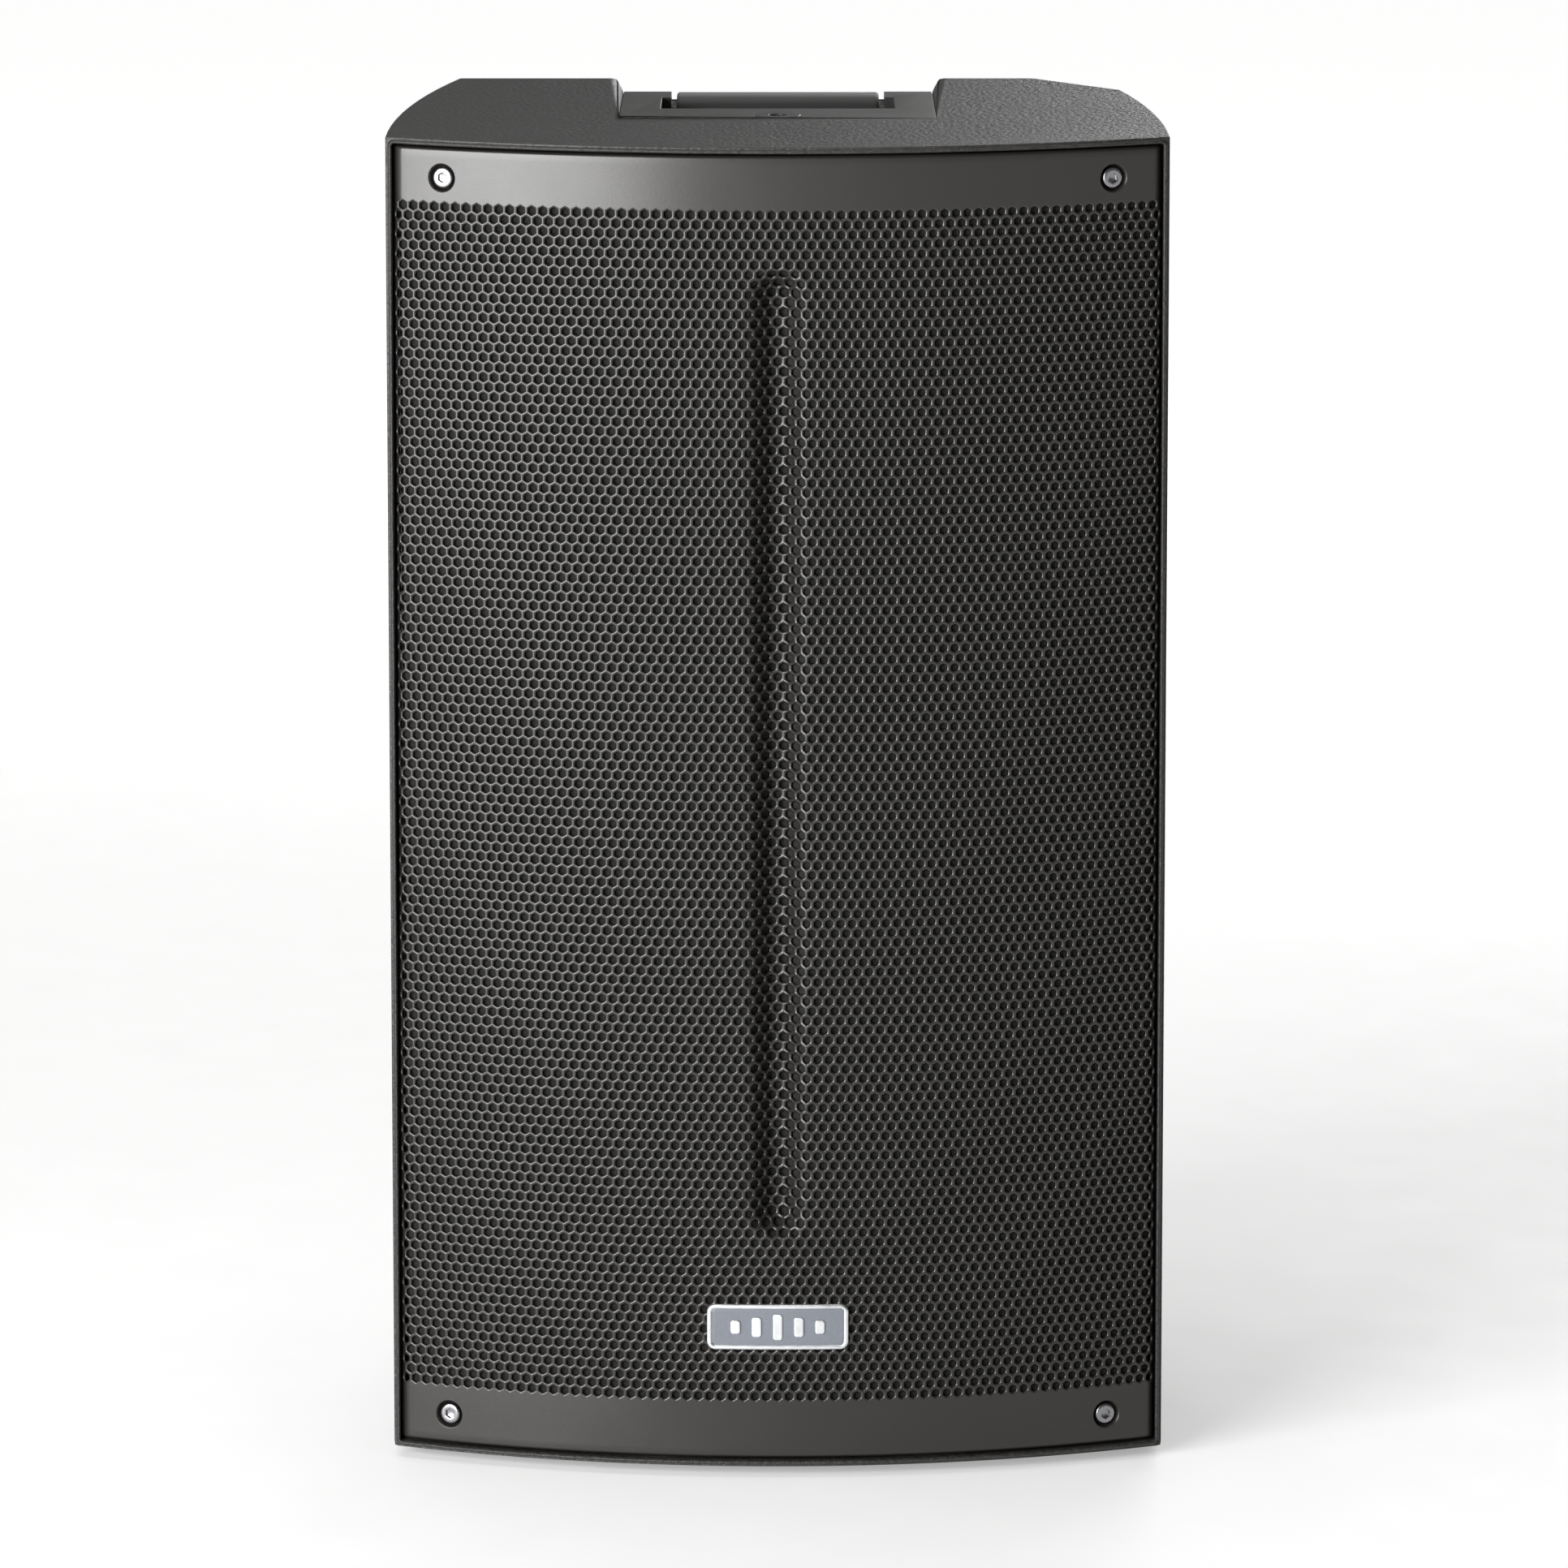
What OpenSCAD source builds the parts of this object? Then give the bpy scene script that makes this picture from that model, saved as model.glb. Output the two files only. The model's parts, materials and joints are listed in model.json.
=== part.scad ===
// Powered two-way loudspeaker cabinet: 12 inch woofer, 1 inch compression driver on a horn,
// amplifier module in the rear. Origin on the floor under the middle, +Z up, the grille
// faces -Y, and +X is on the right of someone who faces the grille.

/* [Cabinet] */
// Width across the front edges
cab_w = 366; // [340:1:450]
// Depth from the middle of the grille to the rear face
cab_d = 330; // [320:1:400]
// Height of the moulded shell, without its feet
shell_h = 629; // [610:1:760]
// Wall thickness of the shell
wall = 6; // [4:0.5:9]
// How far the middle of the front stands before its side edges
bulge = 40; // [20:1:55]
// Radius of the two curved side walls in plan
side_r = 910; // [800:10:1400]
// Depth behind the front edges at which the slanted monitor face begins
slant_start = 183; // [150:1:210]
// Angle of the slanted monitor face from the front plane
slant_angle = 48; // [40:1:60]
// Depth behind the front edges at which the top begins to fall to the rear
shoulder_depth = 226; // [200:1:250]
// Fall of the rear part of the top, in degrees
rear_fall = 23; // [15:1:35]
// Width of the lip that frames the grille
lip = 3; // [2:0.5:4]

/* [Grille] */
// Thickness of the perforated steel sheet
grille_t = 1.5; // [1:0.1:2]
// How far the grille lies behind the lip
grille_sink = 2.5; // [2:0.5:4]
// Gap between the grille and the lip
grille_gap = 1; // [0.5:0.1:1.5]
// Depth of the grille's folded rim
grille_rim = 10; // [6:0.5:12]
// Width of the vertical groove
groove_w = 25; // [18:1:34]
// Depth of the vertical groove
groove_depth = 9; // [5:0.5:11]
// Groove's upper end below the top of the shell
groove_top = 57; // [45:1:90]
// Groove's lower end above the bottom of the shell
groove_bottom = 111; // [95:1:140]
// Thickness of the foam behind the grille
foam_t = 2; // [1.5:0.5:4]
// Grille screws from the top and bottom of the shell
screw_drop = 18; // [16:1:24]
// Grille screws from the side edges of the shell
screw_in = 26.5; // [22:0.5:34]
// Badge width
badge_w = 67; // [50:1:80]
// Badge height
badge_h = 22; // [16:1:28]
// Middle of the badge above the bottom of the shell
badge_rise = 68; // [50:1:80]

/* [Handle] */
// Width of the recess between the shoulders
recess_w = 150; // [136:1:170]
// Depth behind the front edges at which the recess begins
recess_start = 70; // [62:1:80]
// Fall of the deck from front to rear, in degrees
deck_fall = 2.5; // [1:0.05:4]
// Draft of the shoulders' inner walls, in degrees from upright
shoulder_draft = 32; // [0:1:40]
// Fall of the recess behind the grip, in degrees
recess_rear_fall = 28; // [26:1:36]
// Width of the hand opening
hand_w = 112; // [100:1:120]
// Length of the hand opening from front to rear
hand_l = 109; // [100:1:112]
// Front edge of the hand opening behind the front edges
hand_start = 126; // [122:1:130]
// Depth of the hand cup below the deck
hand_depth = 46; // [40:1:50]
// Length of the rubber grip
grip_l = 98; // [86:1:100]
// Gap at each end of the grip
notch_w = 2.7; // [2:0.1:4]
// Width of the grip from front to rear
grip_w = 30; // [26:1:36]
// Thickness of the grip
grip_t = 17; // [15:0.5:20]

/* [Mounting points] */
// Bore of the stand socket
pole_bore = 36; // [35.2:0.1:38]
// Depth of the stand socket
pole_depth = 85; // [70:1:95]
// Bore of the flying inserts
insert_bore = 8; // [6:1:10]
// Depth of that bore
insert_depth = 20; // [15:1:24]
// Height of the rubber feet
foot_h = 5; // [4:0.5:8]
// Diameter of the rubber feet
foot_d = 38; // [30:1:44]

/* [Drivers] */
// Outer diameter of the woofer's frame
woofer_d = 310; // [300:1:314]
// Woofer centre above the bottom of the shell
woofer_rise = 226; // [220:1:240]
// Greatest movement of the cone each way
cone_travel = 6; // [3:0.5:8]
// Voice coil diameter
coil_d = 76; // [64:1:80]
// Horn centre below the top of the shell
horn_drop = 118; // [110:1:124]
// Width of the horn's mouth
horn_w = 258; // [220:1:264]
// Height of the horn's mouth
horn_h = 132; // [110:1:136]
// Depth of the horn behind the front of the baffle
horn_depth = 105; // [95:1:115]
// Throat bore of the horn and its driver
throat_d = 25.4; // [24:0.1:30]
// Outer diameter of the horn driver
driver_d = 90; // [80:1:96]
// Bore of the bass ports
port_bore = 66; // [50:1:70]
// Length of the bass ports
port_l = 126; // [90:1:150]

/* [Amplifier] */
// Width of the amplifier panel
amp_w = 180; // [170:1:186]
// Height of the amplifier panel
amp_h = 320; // [310:1:340]
// Middle of the amplifier panel above the bottom of the shell
amp_rise = 295; // [280:1:340]
// Depth of the pocket that the panel sits in
amp_pocket = 22; // [20:1:26]
// Diameter of the level knobs
knob_d = 16; // [12:1:20]
// Radial clearance of a running or sliding fit
slip = 0.05; // [0.02:0.01:0.1]

/* [Hidden] */
$fn = 64;
// Facets of the circles whose radius is close to half a metre or more
broad = 720;
// Length that reaches past everything
far = 1200;

z_low = foot_h;
z_top = foot_h + shell_h;
y_front = -cab_d / 2;
y_rear = cab_d / 2;
y_edge = y_front + bulge;
front_r = (pow(cab_w / 2, 2) + pow(bulge, 2)) / (2 * bulge);
front_cy = y_front + front_r;

baffle_gap = 9;
baffle_t = 12;
y_baffle = y_edge + baffle_gap;
y_baffle_back = y_baffle + baffle_t;
ledge_w = 10;
ledge_t = 8;
clear = 0.3;

y_recess = y_edge + recess_start;
y_hand = y_edge + hand_start;
y_shoulder = y_edge + shoulder_depth;
deck_t = 5;
cup_wall = 6;
cup_end = 14;
finger_gap = 68;
y_grip = y_hand + finger_gap + grip_w / 2;
grip_rise = 0.5;
core_w = 22;
core_t = 8;
core_l = hand_w + 22;
web_t = 4;
handle_head_d = 9;

insert_y = y_recess + 15;
insert_body = 18;
insert_flange = 22;
insert_flange_t = 2;
insert_l = 25;
insert_wall = 6;
insert_sunk = 0.2;
rear_insert_z = z_top - 90;
bottom_insert_y = y_rear - 70;

woofer_z = z_low + woofer_rise;
horn_z = z_top - horn_drop;
port_x = woofer_d / 2 - 37;
port_z = z_low + 58;
port_wall = 3;

amp_x = (slant_rear_x() - cab_w / 2 + side_inset(cab_d - bulge)) / 2;
amp_z = z_low + amp_rise;
y_seat = y_rear - amp_pocket;
amp_gasket_t = 2;
panel_t = 3;
y_panel = y_seat + amp_gasket_t + panel_t;
board_gap = 44;
board_t = 1.6;

jack_v = -5;
jack_us = [-62, -22];
link_u = 18;
knob_v = -55;
button_u = 12;
led_us = [32, 44, 56];
mains_v = -112;
inlet_u = -40;
rocker_u = 45;

// How far the deck has fallen at the shoulders' rear end, and the recess at the rear face
function deck_drop() = (y_shoulder - y_recess) * tan(deck_fall);
function recess_drop() = deck_drop() + (y_rear - y_shoulder) * tan(recess_rear_fall);
// How far a curved side wall has drawn in at a depth behind the front edges
function side_inset(depth) = side_r - sqrt(pow(side_r, 2) - pow(depth, 2));
// X of the vertical edge between the slanted face and the rear face
function slant_rear_x() = cab_w / 2 - side_inset(slant_start)
    - (cab_d - bulge - slant_start) / tan(slant_angle);

// ---- shared shapes ----

// Everything below a line through the origin, moved down by inset
module below_line(angle, inset)
    rotate(angle) translate([-far, -far]) square([2 * far, far - inset]);

// Plan of the shell drawn in by inset, with its own inset for the bowed front
module plan(inset, front) {
    intersection() {
        translate([0, front_cy]) circle(r = front_r - front, $fn = broad);
        translate([side_r - cab_w / 2, y_edge]) circle(r = side_r - inset, $fn = broad);
        translate([cab_w / 2 - side_r, y_edge]) circle(r = side_r - inset, $fn = broad);
        translate([0, y_rear]) below_line(0, inset);
        translate([slant_rear_x(), y_rear]) below_line(-slant_angle, inset);
    }
}

// Solid of the shell drawn in by inset
module block(inset, front) {
    intersection() {
        translate([0, 0, z_low + inset]) linear_extrude(shell_h - 2 * inset) plan(inset, front);
        rotate([90, 0, 90]) linear_extrude(2 * far, center = true)
            translate([y_shoulder, z_top]) below_line(-rear_fall, inset);
    }
}

// Cylinder that shares the front's axis, drawn in by inset
module front_drum(inset)
    translate([0, front_cy, 0]) cylinder(r = front_r - inset, h = z_top + far, $fn = broad);

// Box between two corners
module box(low, high) translate(low) cube(high - low);

// Slot outline of a width and length with round ends, upright
module slot_outline(w, l) {
    square([w, l - w], center = true);
    for (s = [-1, 1]) translate([0, s * (l - w) / 2]) circle(d = w);
}

// Rounded rectangle
module rounded(w, h, r) {
    square([w - 2 * r, h], center = true);
    square([w, h - 2 * r], center = true);
    for (sx = [-1, 1], sy = [-1, 1])
        translate([sx * (w / 2 - r), sy * (h / 2 - r)]) circle(r = r);
}

// Local frame on a forward-facing axis: local z points to the front, local y points up
module facing_front(x, y, z) translate([x, y, z]) rotate([90, 0, 0]) children();

// Local frame on the amplifier panel's face: local z points to the rear
module on_panel(u, v) translate([amp_x + u, y_panel, amp_z + v]) rotate([-90, 0, 0]) children();

// Local frame at each grille screw: local z points out of the grille
module at_grille_screws() {
    turn = asin((cab_w / 2 - screw_in) / (front_r - grille_sink));
    for (s = [-1, 1], z = [z_low + screw_drop, z_top - screw_drop])
        translate([0, front_cy, z]) rotate([0, 0, s * turn])
            translate([0, grille_sink - front_r, 0]) rotate([90, 0, 0]) children();
}

// Pan-head screw pointing down local -z with its head's underside at the origin
module screw(d, l, head_d, head_h, drive_d) {
    difference() {
        union() {
            cylinder(d = head_d, h = head_h, $fn = 32);
            translate([0, 0, -l]) cylinder(d = d, h = l, $fn = 24);
        }
        translate([0, 0, head_h * 0.4]) cylinder(d = drive_d, h = head_h, $fn = 6);
    }
}

// Ring about local z
module ring(outer, inner, h) {
    difference() {
        cylinder(d = outer, h = h);
        translate([0, 0, -1]) cylinder(d = inner, h = h + 2);
    }
}

// ---- cabinet ----

foot_in = 46;
foot_x = cab_w / 2 - foot_in;
foot_rear = 70;
foot_ys = [y_edge + 42, y_rear - foot_rear];
pole_flange_d = 86;
pole_flange_t = 4;
pole_screw_r = 34;
floor_pad_t = 12;
pad_rim = 8;
pocket_wall = 8;
foot_boss_d = 20;
screw_d = 5;

// Where the four feet stand; the rear right foot keeps inside the slanted face
module at_feet() {
    rear_right = min(foot_x, slant_rear_x() + foot_rear / tan(slant_angle) - foot_d);
    for (s = [-1, 1]) translate([s * foot_x, foot_ys[0], 0]) children();
    translate([-foot_x + 14, foot_ys[1], 0]) children();
    translate([rear_right, foot_ys[1], 0]) children();
}

module at_pole_screws() for (a = [45:90:315]) rotate(a) translate([pole_screw_r, 0, 0]) children();

// Baffle screws: along both sides and at the middle of the top and bottom
module at_baffle_screws() {
    in = wall + ledge_w / 2;
    for (s = [-1, 1], i = [0:3])
        facing_front(s * (cab_w / 2 - in - 1), y_baffle, z_low + 60 + i * (shell_h - 120) / 3) children();
    for (z = [z_low + in, z_top - in]) facing_front(0, y_baffle, z) children();
}

// Panel screws: five down each side of the amplifier panel
module at_panel_screws()
    for (s = [-1, 1], i = [-2:2]) on_panel(s * (amp_w / 2 - 5), i * (amp_h / 2 - 6) / 2) children();

// Space above the deck between the shoulders, sunk by drop: the deck falls gently to the grip
// and steeply behind it
module deck_space(w, drop, start, draft) {
    high = 60;
    top_w = w + 2 * high * tan(draft);
    section = [[-w / 2, 0], [w / 2, 0], [top_w / 2, high], [-top_w / 2, high]];
    translate([0, y_recess, z_top - drop]) rotate([90 - deck_fall, 0, 0]) mirror([0, 0, 1])
        translate([0, 0, start - y_recess]) linear_extrude(far) polygon(section);
    translate([0, y_shoulder, z_top - drop - deck_drop()])
        rotate([90 - recess_rear_fall, 0, 0]) mirror([0, 0, 1]) linear_extrude(far) polygon(section);
}

// Box around the hand cup, grown at its ends and along its long sides; it is narrower at the grip
module cup_box(end, side, depth) {
    slot_w = grip_l + 2 * notch_w;
    box([-hand_w / 2 - end, y_hand - side, z_top - depth],
        [hand_w / 2 + end, y_hand + finger_gap - 2, z_top + 1]);
    box([-slot_w / 2 - end, y_hand - side, z_top - depth],
        [slot_w / 2 + end, y_hand + hand_l + side, z_top + 1]);
}

module insert_places(grow, l) {
    translate([0, insert_y, z_top - insert_sunk - l]) cylinder(d = grow, h = l);
    translate([0, bottom_insert_y, z_low]) cylinder(d = grow, h = l);
    translate([amp_x, y_rear, rear_insert_z]) rotate([90, 0, 0]) cylinder(d = grow, h = l);
}

// Material that stays inside the walls: ledge, pads and bosses
module shell_ribs() {
    difference() {
        box([-far, y_baffle_back, 0], [far, y_baffle_back + ledge_t, z_top]);
        block(wall + ledge_w, -far);
    }
    box([-recess_w / 2 - wall, y_recess - wall, z_top - deck_t - deck_drop() - wall],
        [recess_w / 2 + wall, y_shoulder, z_top]);
    box([-recess_w / 2 - wall, y_shoulder, z_top - deck_t - recess_drop() - wall],
        [recess_w / 2 + wall, y_rear, z_top]);
    box([amp_x - amp_w / 2 - pocket_wall, y_seat - wall, amp_z - amp_h / 2 - pocket_wall],
        [amp_x + amp_w / 2 + pocket_wall, y_rear, amp_z + amp_h / 2 + pocket_wall]);
    cylinder(d = pole_flange_d + 2 * pad_rim, h = z_low + floor_pad_t);
    at_feet() cylinder(d = foot_boss_d, h = z_low + floor_pad_t);
    insert_places(insert_body + 2 * insert_wall, insert_l + insert_wall);
}

module cabinet_shell() color("#2c2c2b") {
    difference() {
        block(0, 0);
        difference() {
            block(wall, -far);
            shell_ribs();
        }
        // rebate that the grille sits in
        difference() {
            block(lip, -far);
            front_drum(grille_sink + grille_rim + 0.5);
        }
        // seat of the handle tray and the way down for its cup
        deck_space(recess_w, deck_t, y_recess, 0);
        deck_space(recess_w, 0, y_recess, shoulder_draft);
        tray_well(hand_depth + 20);
        // pocket and window of the amplifier
        on_panel(0, 0) translate([0, 0, -panel_t - amp_gasket_t])
            linear_extrude(far) square([amp_w + 4, amp_h + 4], center = true);
        on_panel(0, 0) translate([0, 0, -board_gap])
            linear_extrude(board_gap) square([amp_w - 20, amp_h - 20], center = true);
        at_panel_screws() translate([0, 0, -14]) cylinder(d = 4, h = 14, $fn = 24);
        // stand socket
        translate([0, 0, z_low - 1]) cylinder(d = pole_flange_d, h = pole_flange_t + 1);
        translate([0, 0, z_low - 1]) cylinder(d = pole_bore + 8, h = floor_pad_t + 2);
        at_pole_screws() cylinder(d = 4, h = z_low + floor_pad_t - 2, $fn = 24);
        at_feet() cylinder(d = screw_d, h = z_low + floor_pad_t - 2, $fn = 24);
        at_baffle_screws() translate([0, 0, -baffle_t - ledge_t]) cylinder(d = 4, h = 30, $fn = 24);
        insert_places(insert_body, insert_l);
        insert_places(insert_flange, insert_flange_t);
        translate([0, bottom_insert_y, z_low - 1]) cylinder(d = insert_flange, h = 3);
        translate([amp_x, y_rear + 1, rear_insert_z]) rotate([90, 0, 0])
            cylinder(d = insert_flange, h = 3);
    }
}

module front_baffle() color("#202020") {
    pillar_l = 24;
    difference() {
        union() {
            intersection() {
                block(wall, -far);
                box([-far, y_baffle, 0], [far, y_baffle_back, z_top]);
            }
            intersection() {
                at_grille_screws() translate([0, 0, -cup_floor - pillar_l]) cylinder(d = 12, h = pillar_l);
                box([-far, y_front, 0], [far, y_baffle + 1, z_top]);
            }
        }
        on_woofer() translate([0, 0, -baffle_t - 1]) cylinder(r = basket_r, h = baffle_t + 2, $fn = 128);
        facing_front(0, y_baffle_back + 1, horn_z)
            linear_extrude(baffle_t + 2) square([horn_w + 6, horn_h + 6], center = true);
        at_ports() translate([0, 0, -baffle_t - 1]) cylinder(d = port_bore + 2 * port_wall, h = baffle_t + 2);
        at_grille_screws() translate([0, 0, -cup_floor - 14]) cylinder(d = screw_d, h = 30, $fn = 24);
        at_baffle_screws() translate([0, 0, -baffle_t - 1]) cylinder(d = 4, h = baffle_t + 2, $fn = 24);
        at_woofer_screws() translate([0, 0, -baffle_t + 1]) cylinder(d = screw_d, h = 30, $fn = 24);
        at_horn_screws() translate([0, 0, -baffle_t + 1]) cylinder(d = 4, h = 30, $fn = 24);
    }
}

module baffle_screws() color("#3a3a3a") at_baffle_screws() screw(4, 18, 8, 2.5, 2.5);

// ---- grille ----

cup_d = 13.6;
cup_depth = 3.5;
cup_wall_t = 1.2;
cup_floor = cup_depth + cup_wall_t;
head_d = 10.2;
head_h = 2.8;
head_dome_r = 6.4;
head_socket_d = 4.6;
badge_t = 2;
badge_field = 0.8;
stud_d = 3;
stud_x = badge_w / 2 - 11;
groove_l = shell_h - groove_top - groove_bottom;
groove_z = z_low + groove_bottom + groove_l / 2;

// Slice of space between two depths behind the bowed front
module bow(near, deep) {
    difference() {
        front_drum(near);
        translate([0, 0, -1]) front_drum(deep);
    }
}

// Upright slot through everything in front, drawn on the grille's middle
module groove_prism(w, l) facing_front(0, 0, groove_z) linear_extrude(far) slot_outline(w, l);

// Badge outline through everything in front
module badge_prism(in) {
    facing_front(0, 0, z_low + badge_rise) linear_extrude(far)
        rounded(badge_w - 2 * in, badge_h - 2 * in, 4 - in);
}

module badge_studs(d)
    for (s = [-1, 1]) facing_front(s * stud_x, y_front + 12, z_low + badge_rise)
        cylinder(d = d, h = 12 - grille_sink, $fn = 24);

module grille() color("#4a4a49") {
    in = lip + grille_gap;
    floor_in = grille_sink + groove_depth;
    difference() {
        union() {
            difference() {
                block(in, grille_sink);
                block(in + grille_t, grille_sink + grille_t);
                front_drum(grille_sink + grille_rim);
            }
            intersection() {
                groove_prism(groove_w, groove_l);
                bow(grille_sink, floor_in + grille_t);
            }
            at_grille_screws() translate([0, 0, -cup_floor])
                cylinder(d = cup_d + 2 * cup_wall_t, h = cup_floor - 0.4);
        }
        intersection() {
            groove_prism(groove_w - 2 * grille_t, groove_l - 2 * grille_t);
            bow(-1, floor_in);
        }
        at_grille_screws() translate([0, 0, -cup_depth]) cylinder(d = cup_d, h = cup_depth + 5);
        at_grille_screws() translate([0, 0, -cup_floor - 1]) cylinder(d = screw_d, h = 9, $fn = 24);
        badge_studs(stud_d);
    }
}

module grille_foam() color("#1b1b1c") {
    near = grille_sink + grille_t;
    deep = near + foam_t;
    around = clear * 2;
    difference() {
        union() {
            intersection() {
                block(lip + grille_gap + grille_t + clear, near);
                bow(near, deep);
            }
            intersection() {
                groove_prism(groove_w + 2 * foam_t, groove_l + 2 * foam_t);
                bow(near, deep + groove_depth);
            }
        }
        intersection() {
            groove_prism(groove_w, groove_l);
            bow(0, near + groove_depth);
        }
        at_grille_screws() translate([0, 0, -30]) cylinder(d = cup_d + 2 * cup_wall_t + around, h = 60);
        badge_studs(stud_d);
    }
}

module grille_screws() color("#8c8c8c")
    at_grille_screws() translate([0, 0, -cup_depth]) {
        difference() {
            union() {
                intersection() {
                    cylinder(d = head_d, h = head_h);
                    translate([0, 0, head_h - head_dome_r]) sphere(r = head_dome_r);
                }
                translate([0, 0, -14]) cylinder(d = screw_d, h = 14, $fn = 24);
            }
            translate([0, 0, 1]) cylinder(d = head_socket_d, h = head_h, $fn = 6);
        }
    }

module badge_plate() color("#b9bcc0") {
    face = grille_sink - badge_t;
    difference() {
        intersection() {
            badge_prism(0);
            bow(face, grille_sink);
        }
        intersection() {
            badge_prism(1.8);
            bow(face - 1, face + badge_field);
        }
    }
    difference() {
        badge_studs(stud_d);
        front_drum_front(grille_sink);
    }
}

// Space in front of the grille's face
module front_drum_front(inset) {
    difference() {
        box([-far, y_front - 5, 0], [far, 0, z_top]);
        translate([0, 0, -1]) front_drum(inset);
    }
}

// Five upright bars of different heights, like a level display
module badge_emblem() color("#d8dadc") {
    heights = [6.5, 9.5, 12.5, 9.5, 6.5];
    pitch = 10;
    bar_w = 4.4;
    face = grille_sink - badge_t;
    for (i = [0:4])
        intersection() {
            facing_front((i - 2) * pitch, 0, z_low + badge_rise) linear_extrude(far)
                slot_outline(bar_w, heights[i]);
            bow(face + 0.1, face + badge_field);
        }
}

// ---- handle ----

// Outside of the tray's cup
module tray_well(depth) {
    box([-hand_w / 2 - cup_end, y_hand - cup_wall, z_top - depth],
        [hand_w / 2 + cup_end, y_hand + hand_l + cup_wall, z_top + 1]);
}

module handle_tray() color("#333332") {
    difference() {
        union() {
            intersection() {
                block(0, 0);
                difference() {
                    deck_space(recess_w, deck_t, y_recess, 0);
                    deck_space(recess_w + 2, 0, y_recess - 1, 0);
                }
            }
            difference() {
                tray_well(hand_depth + 8);
                deck_space(recess_w + 2, deck_t - 1, y_recess - 1, 0);
            }
        }
        cup_box(0, 0, hand_depth);
        handle_bar_shape(core_w, core_t, core_l);
        at_handle_screws() {
            translate([0, 0, -hand_depth]) cylinder(d = handle_head_d + 0.4, h = hand_depth, $fn = 32);
            cylinder(d = screw_d, h = core_t + 2, $fn = 24);
        }
        translate([0, insert_y, z_top - 2 * deck_t]) cylinder(d = insert_flange, h = 3 * deck_t);
    }
}

// Rounded bar along X through the grip's middle
module handle_bar_shape(w, t, l) {
    translate([-l / 2, y_grip, grip_z()]) rotate([90, 0, 90]) linear_extrude(l) rounded(w, t, t / 2 - 0.5);
}

// Height of the grip's middle, from the deck beneath it
function grip_z() = z_top - (y_grip - y_recess) * tan(deck_fall) + grip_rise - grip_t / 2;

// Shoulder of each handle screw, below the ends of the core: local z points up
module at_handle_screws()
    for (s = [-1, 1])
        translate([s * (hand_w / 2 + cup_end / 2), y_grip, grip_z() - core_t / 2 - web_t]) children();

module handle_core() color("#1f1f1f") {
    difference() {
        handle_bar_shape(core_w, core_t, core_l);
        at_handle_screws() cylinder(d = screw_d, h = 3 * core_t, $fn = 24);
    }
}

module handle_grip() color("#262626") {
    difference() {
        handle_bar_shape(grip_w, grip_t, grip_l);
        handle_bar_shape(core_w, core_t, grip_l + 2);
    }
}

module handle_screws() color("#9a9a9a")
    at_handle_screws() rotate([180, 0, 0]) screw(screw_d, web_t + core_t - 1, handle_head_d, 3, 4);

// ---- mounting points ----

// One threaded insert, flange at the origin, body down local -z
module insert() {
    difference() {
        union() {
            translate([0, 0, -insert_flange_t]) cylinder(d = insert_flange, h = insert_flange_t);
            translate([0, 0, -insert_l]) cylinder(d = insert_body, h = insert_l);
        }
        translate([0, 0, -insert_depth]) cylinder(d = insert_bore, h = insert_depth + 1);
    }
}

module flying_inserts() color("#77787a") {
    translate([0, insert_y, z_top - insert_sunk]) insert();
    translate([0, bottom_insert_y, z_low]) rotate([180, 0, 0]) insert();
    translate([amp_x, y_rear, rear_insert_z]) rotate([-90, 0, 0]) insert();
}

module pole_socket() color("#1d1d1d") {
    difference() {
        union() {
            translate([0, 0, z_low]) cylinder(d = pole_flange_d, h = pole_flange_t);
            translate([0, 0, z_low]) cylinder(d = pole_bore + 8, h = pole_depth + 4);
        }
        translate([0, 0, z_low - 1]) cylinder(d = pole_bore, h = pole_depth + 1);
        at_pole_screws() translate([0, 0, z_low - 1]) cylinder(d = 4, h = 9, $fn = 24);
        at_pole_screws() translate([0, 0, z_low - 1]) cylinder(d = 8, h = 3.4, $fn = 32);
    }
}

module pole_socket_screws() color("#8c8c8c")
    at_pole_screws() translate([0, 0, z_low + 2.4]) rotate([180, 0, 0]) screw(4, 7.4, 7.6, 2.2, 2.5);

module rubber_feet() color("#171717") {
    at_feet() difference() {
        cylinder(d = foot_d, h = foot_h);
        translate([0, 0, -1]) cylinder(d = 10, h = foot_h / 2 + 1, $fn = 32);
        cylinder(d = screw_d, h = foot_h + 1, $fn = 24);
    }
}

module foot_screws() color("#8c8c8c")
    at_feet() translate([0, 0, foot_h / 2]) rotate([180, 0, 0]) screw(screw_d, 12, 9, foot_h / 2 - 0.5, 3);

// ---- woofer ----

basket_r = woofer_d / 2 - 12;
basket_deep = 85;
basket_floor_r = 75;
basket_t = 3;
gasket_t = 2;
flange_t = 5;
roll_out = basket_r - 9;
cone_r = woofer_d / 2 - 33;
cone_neck = -45;
coil_r = coil_d / 2;
former_t = 1.2;
magnet_gap = 1.2;
spider_z = -62;
plate_t = 8;
magnet_t = 22;
magnet_r = 78;

module on_woofer() facing_front(0, y_baffle, woofer_z) children();

module at_woofer_screws()
    on_woofer() for (a = [22.5:45:360]) rotate(a) translate([woofer_d / 2 - 6, 0, 0]) children();

module woofer_gasket() color("#2a2a2a") difference() {
    on_woofer() difference() {
        cylinder(d = woofer_d, h = gasket_t, $fn = 128);
        translate([0, 0, -1]) cylinder(r = basket_r, h = gasket_t + 2, $fn = 128);
    }
    at_woofer_screws() translate([0, 0, -1]) cylinder(d = screw_d, h = gasket_t + 2, $fn = 24);
}

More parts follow.
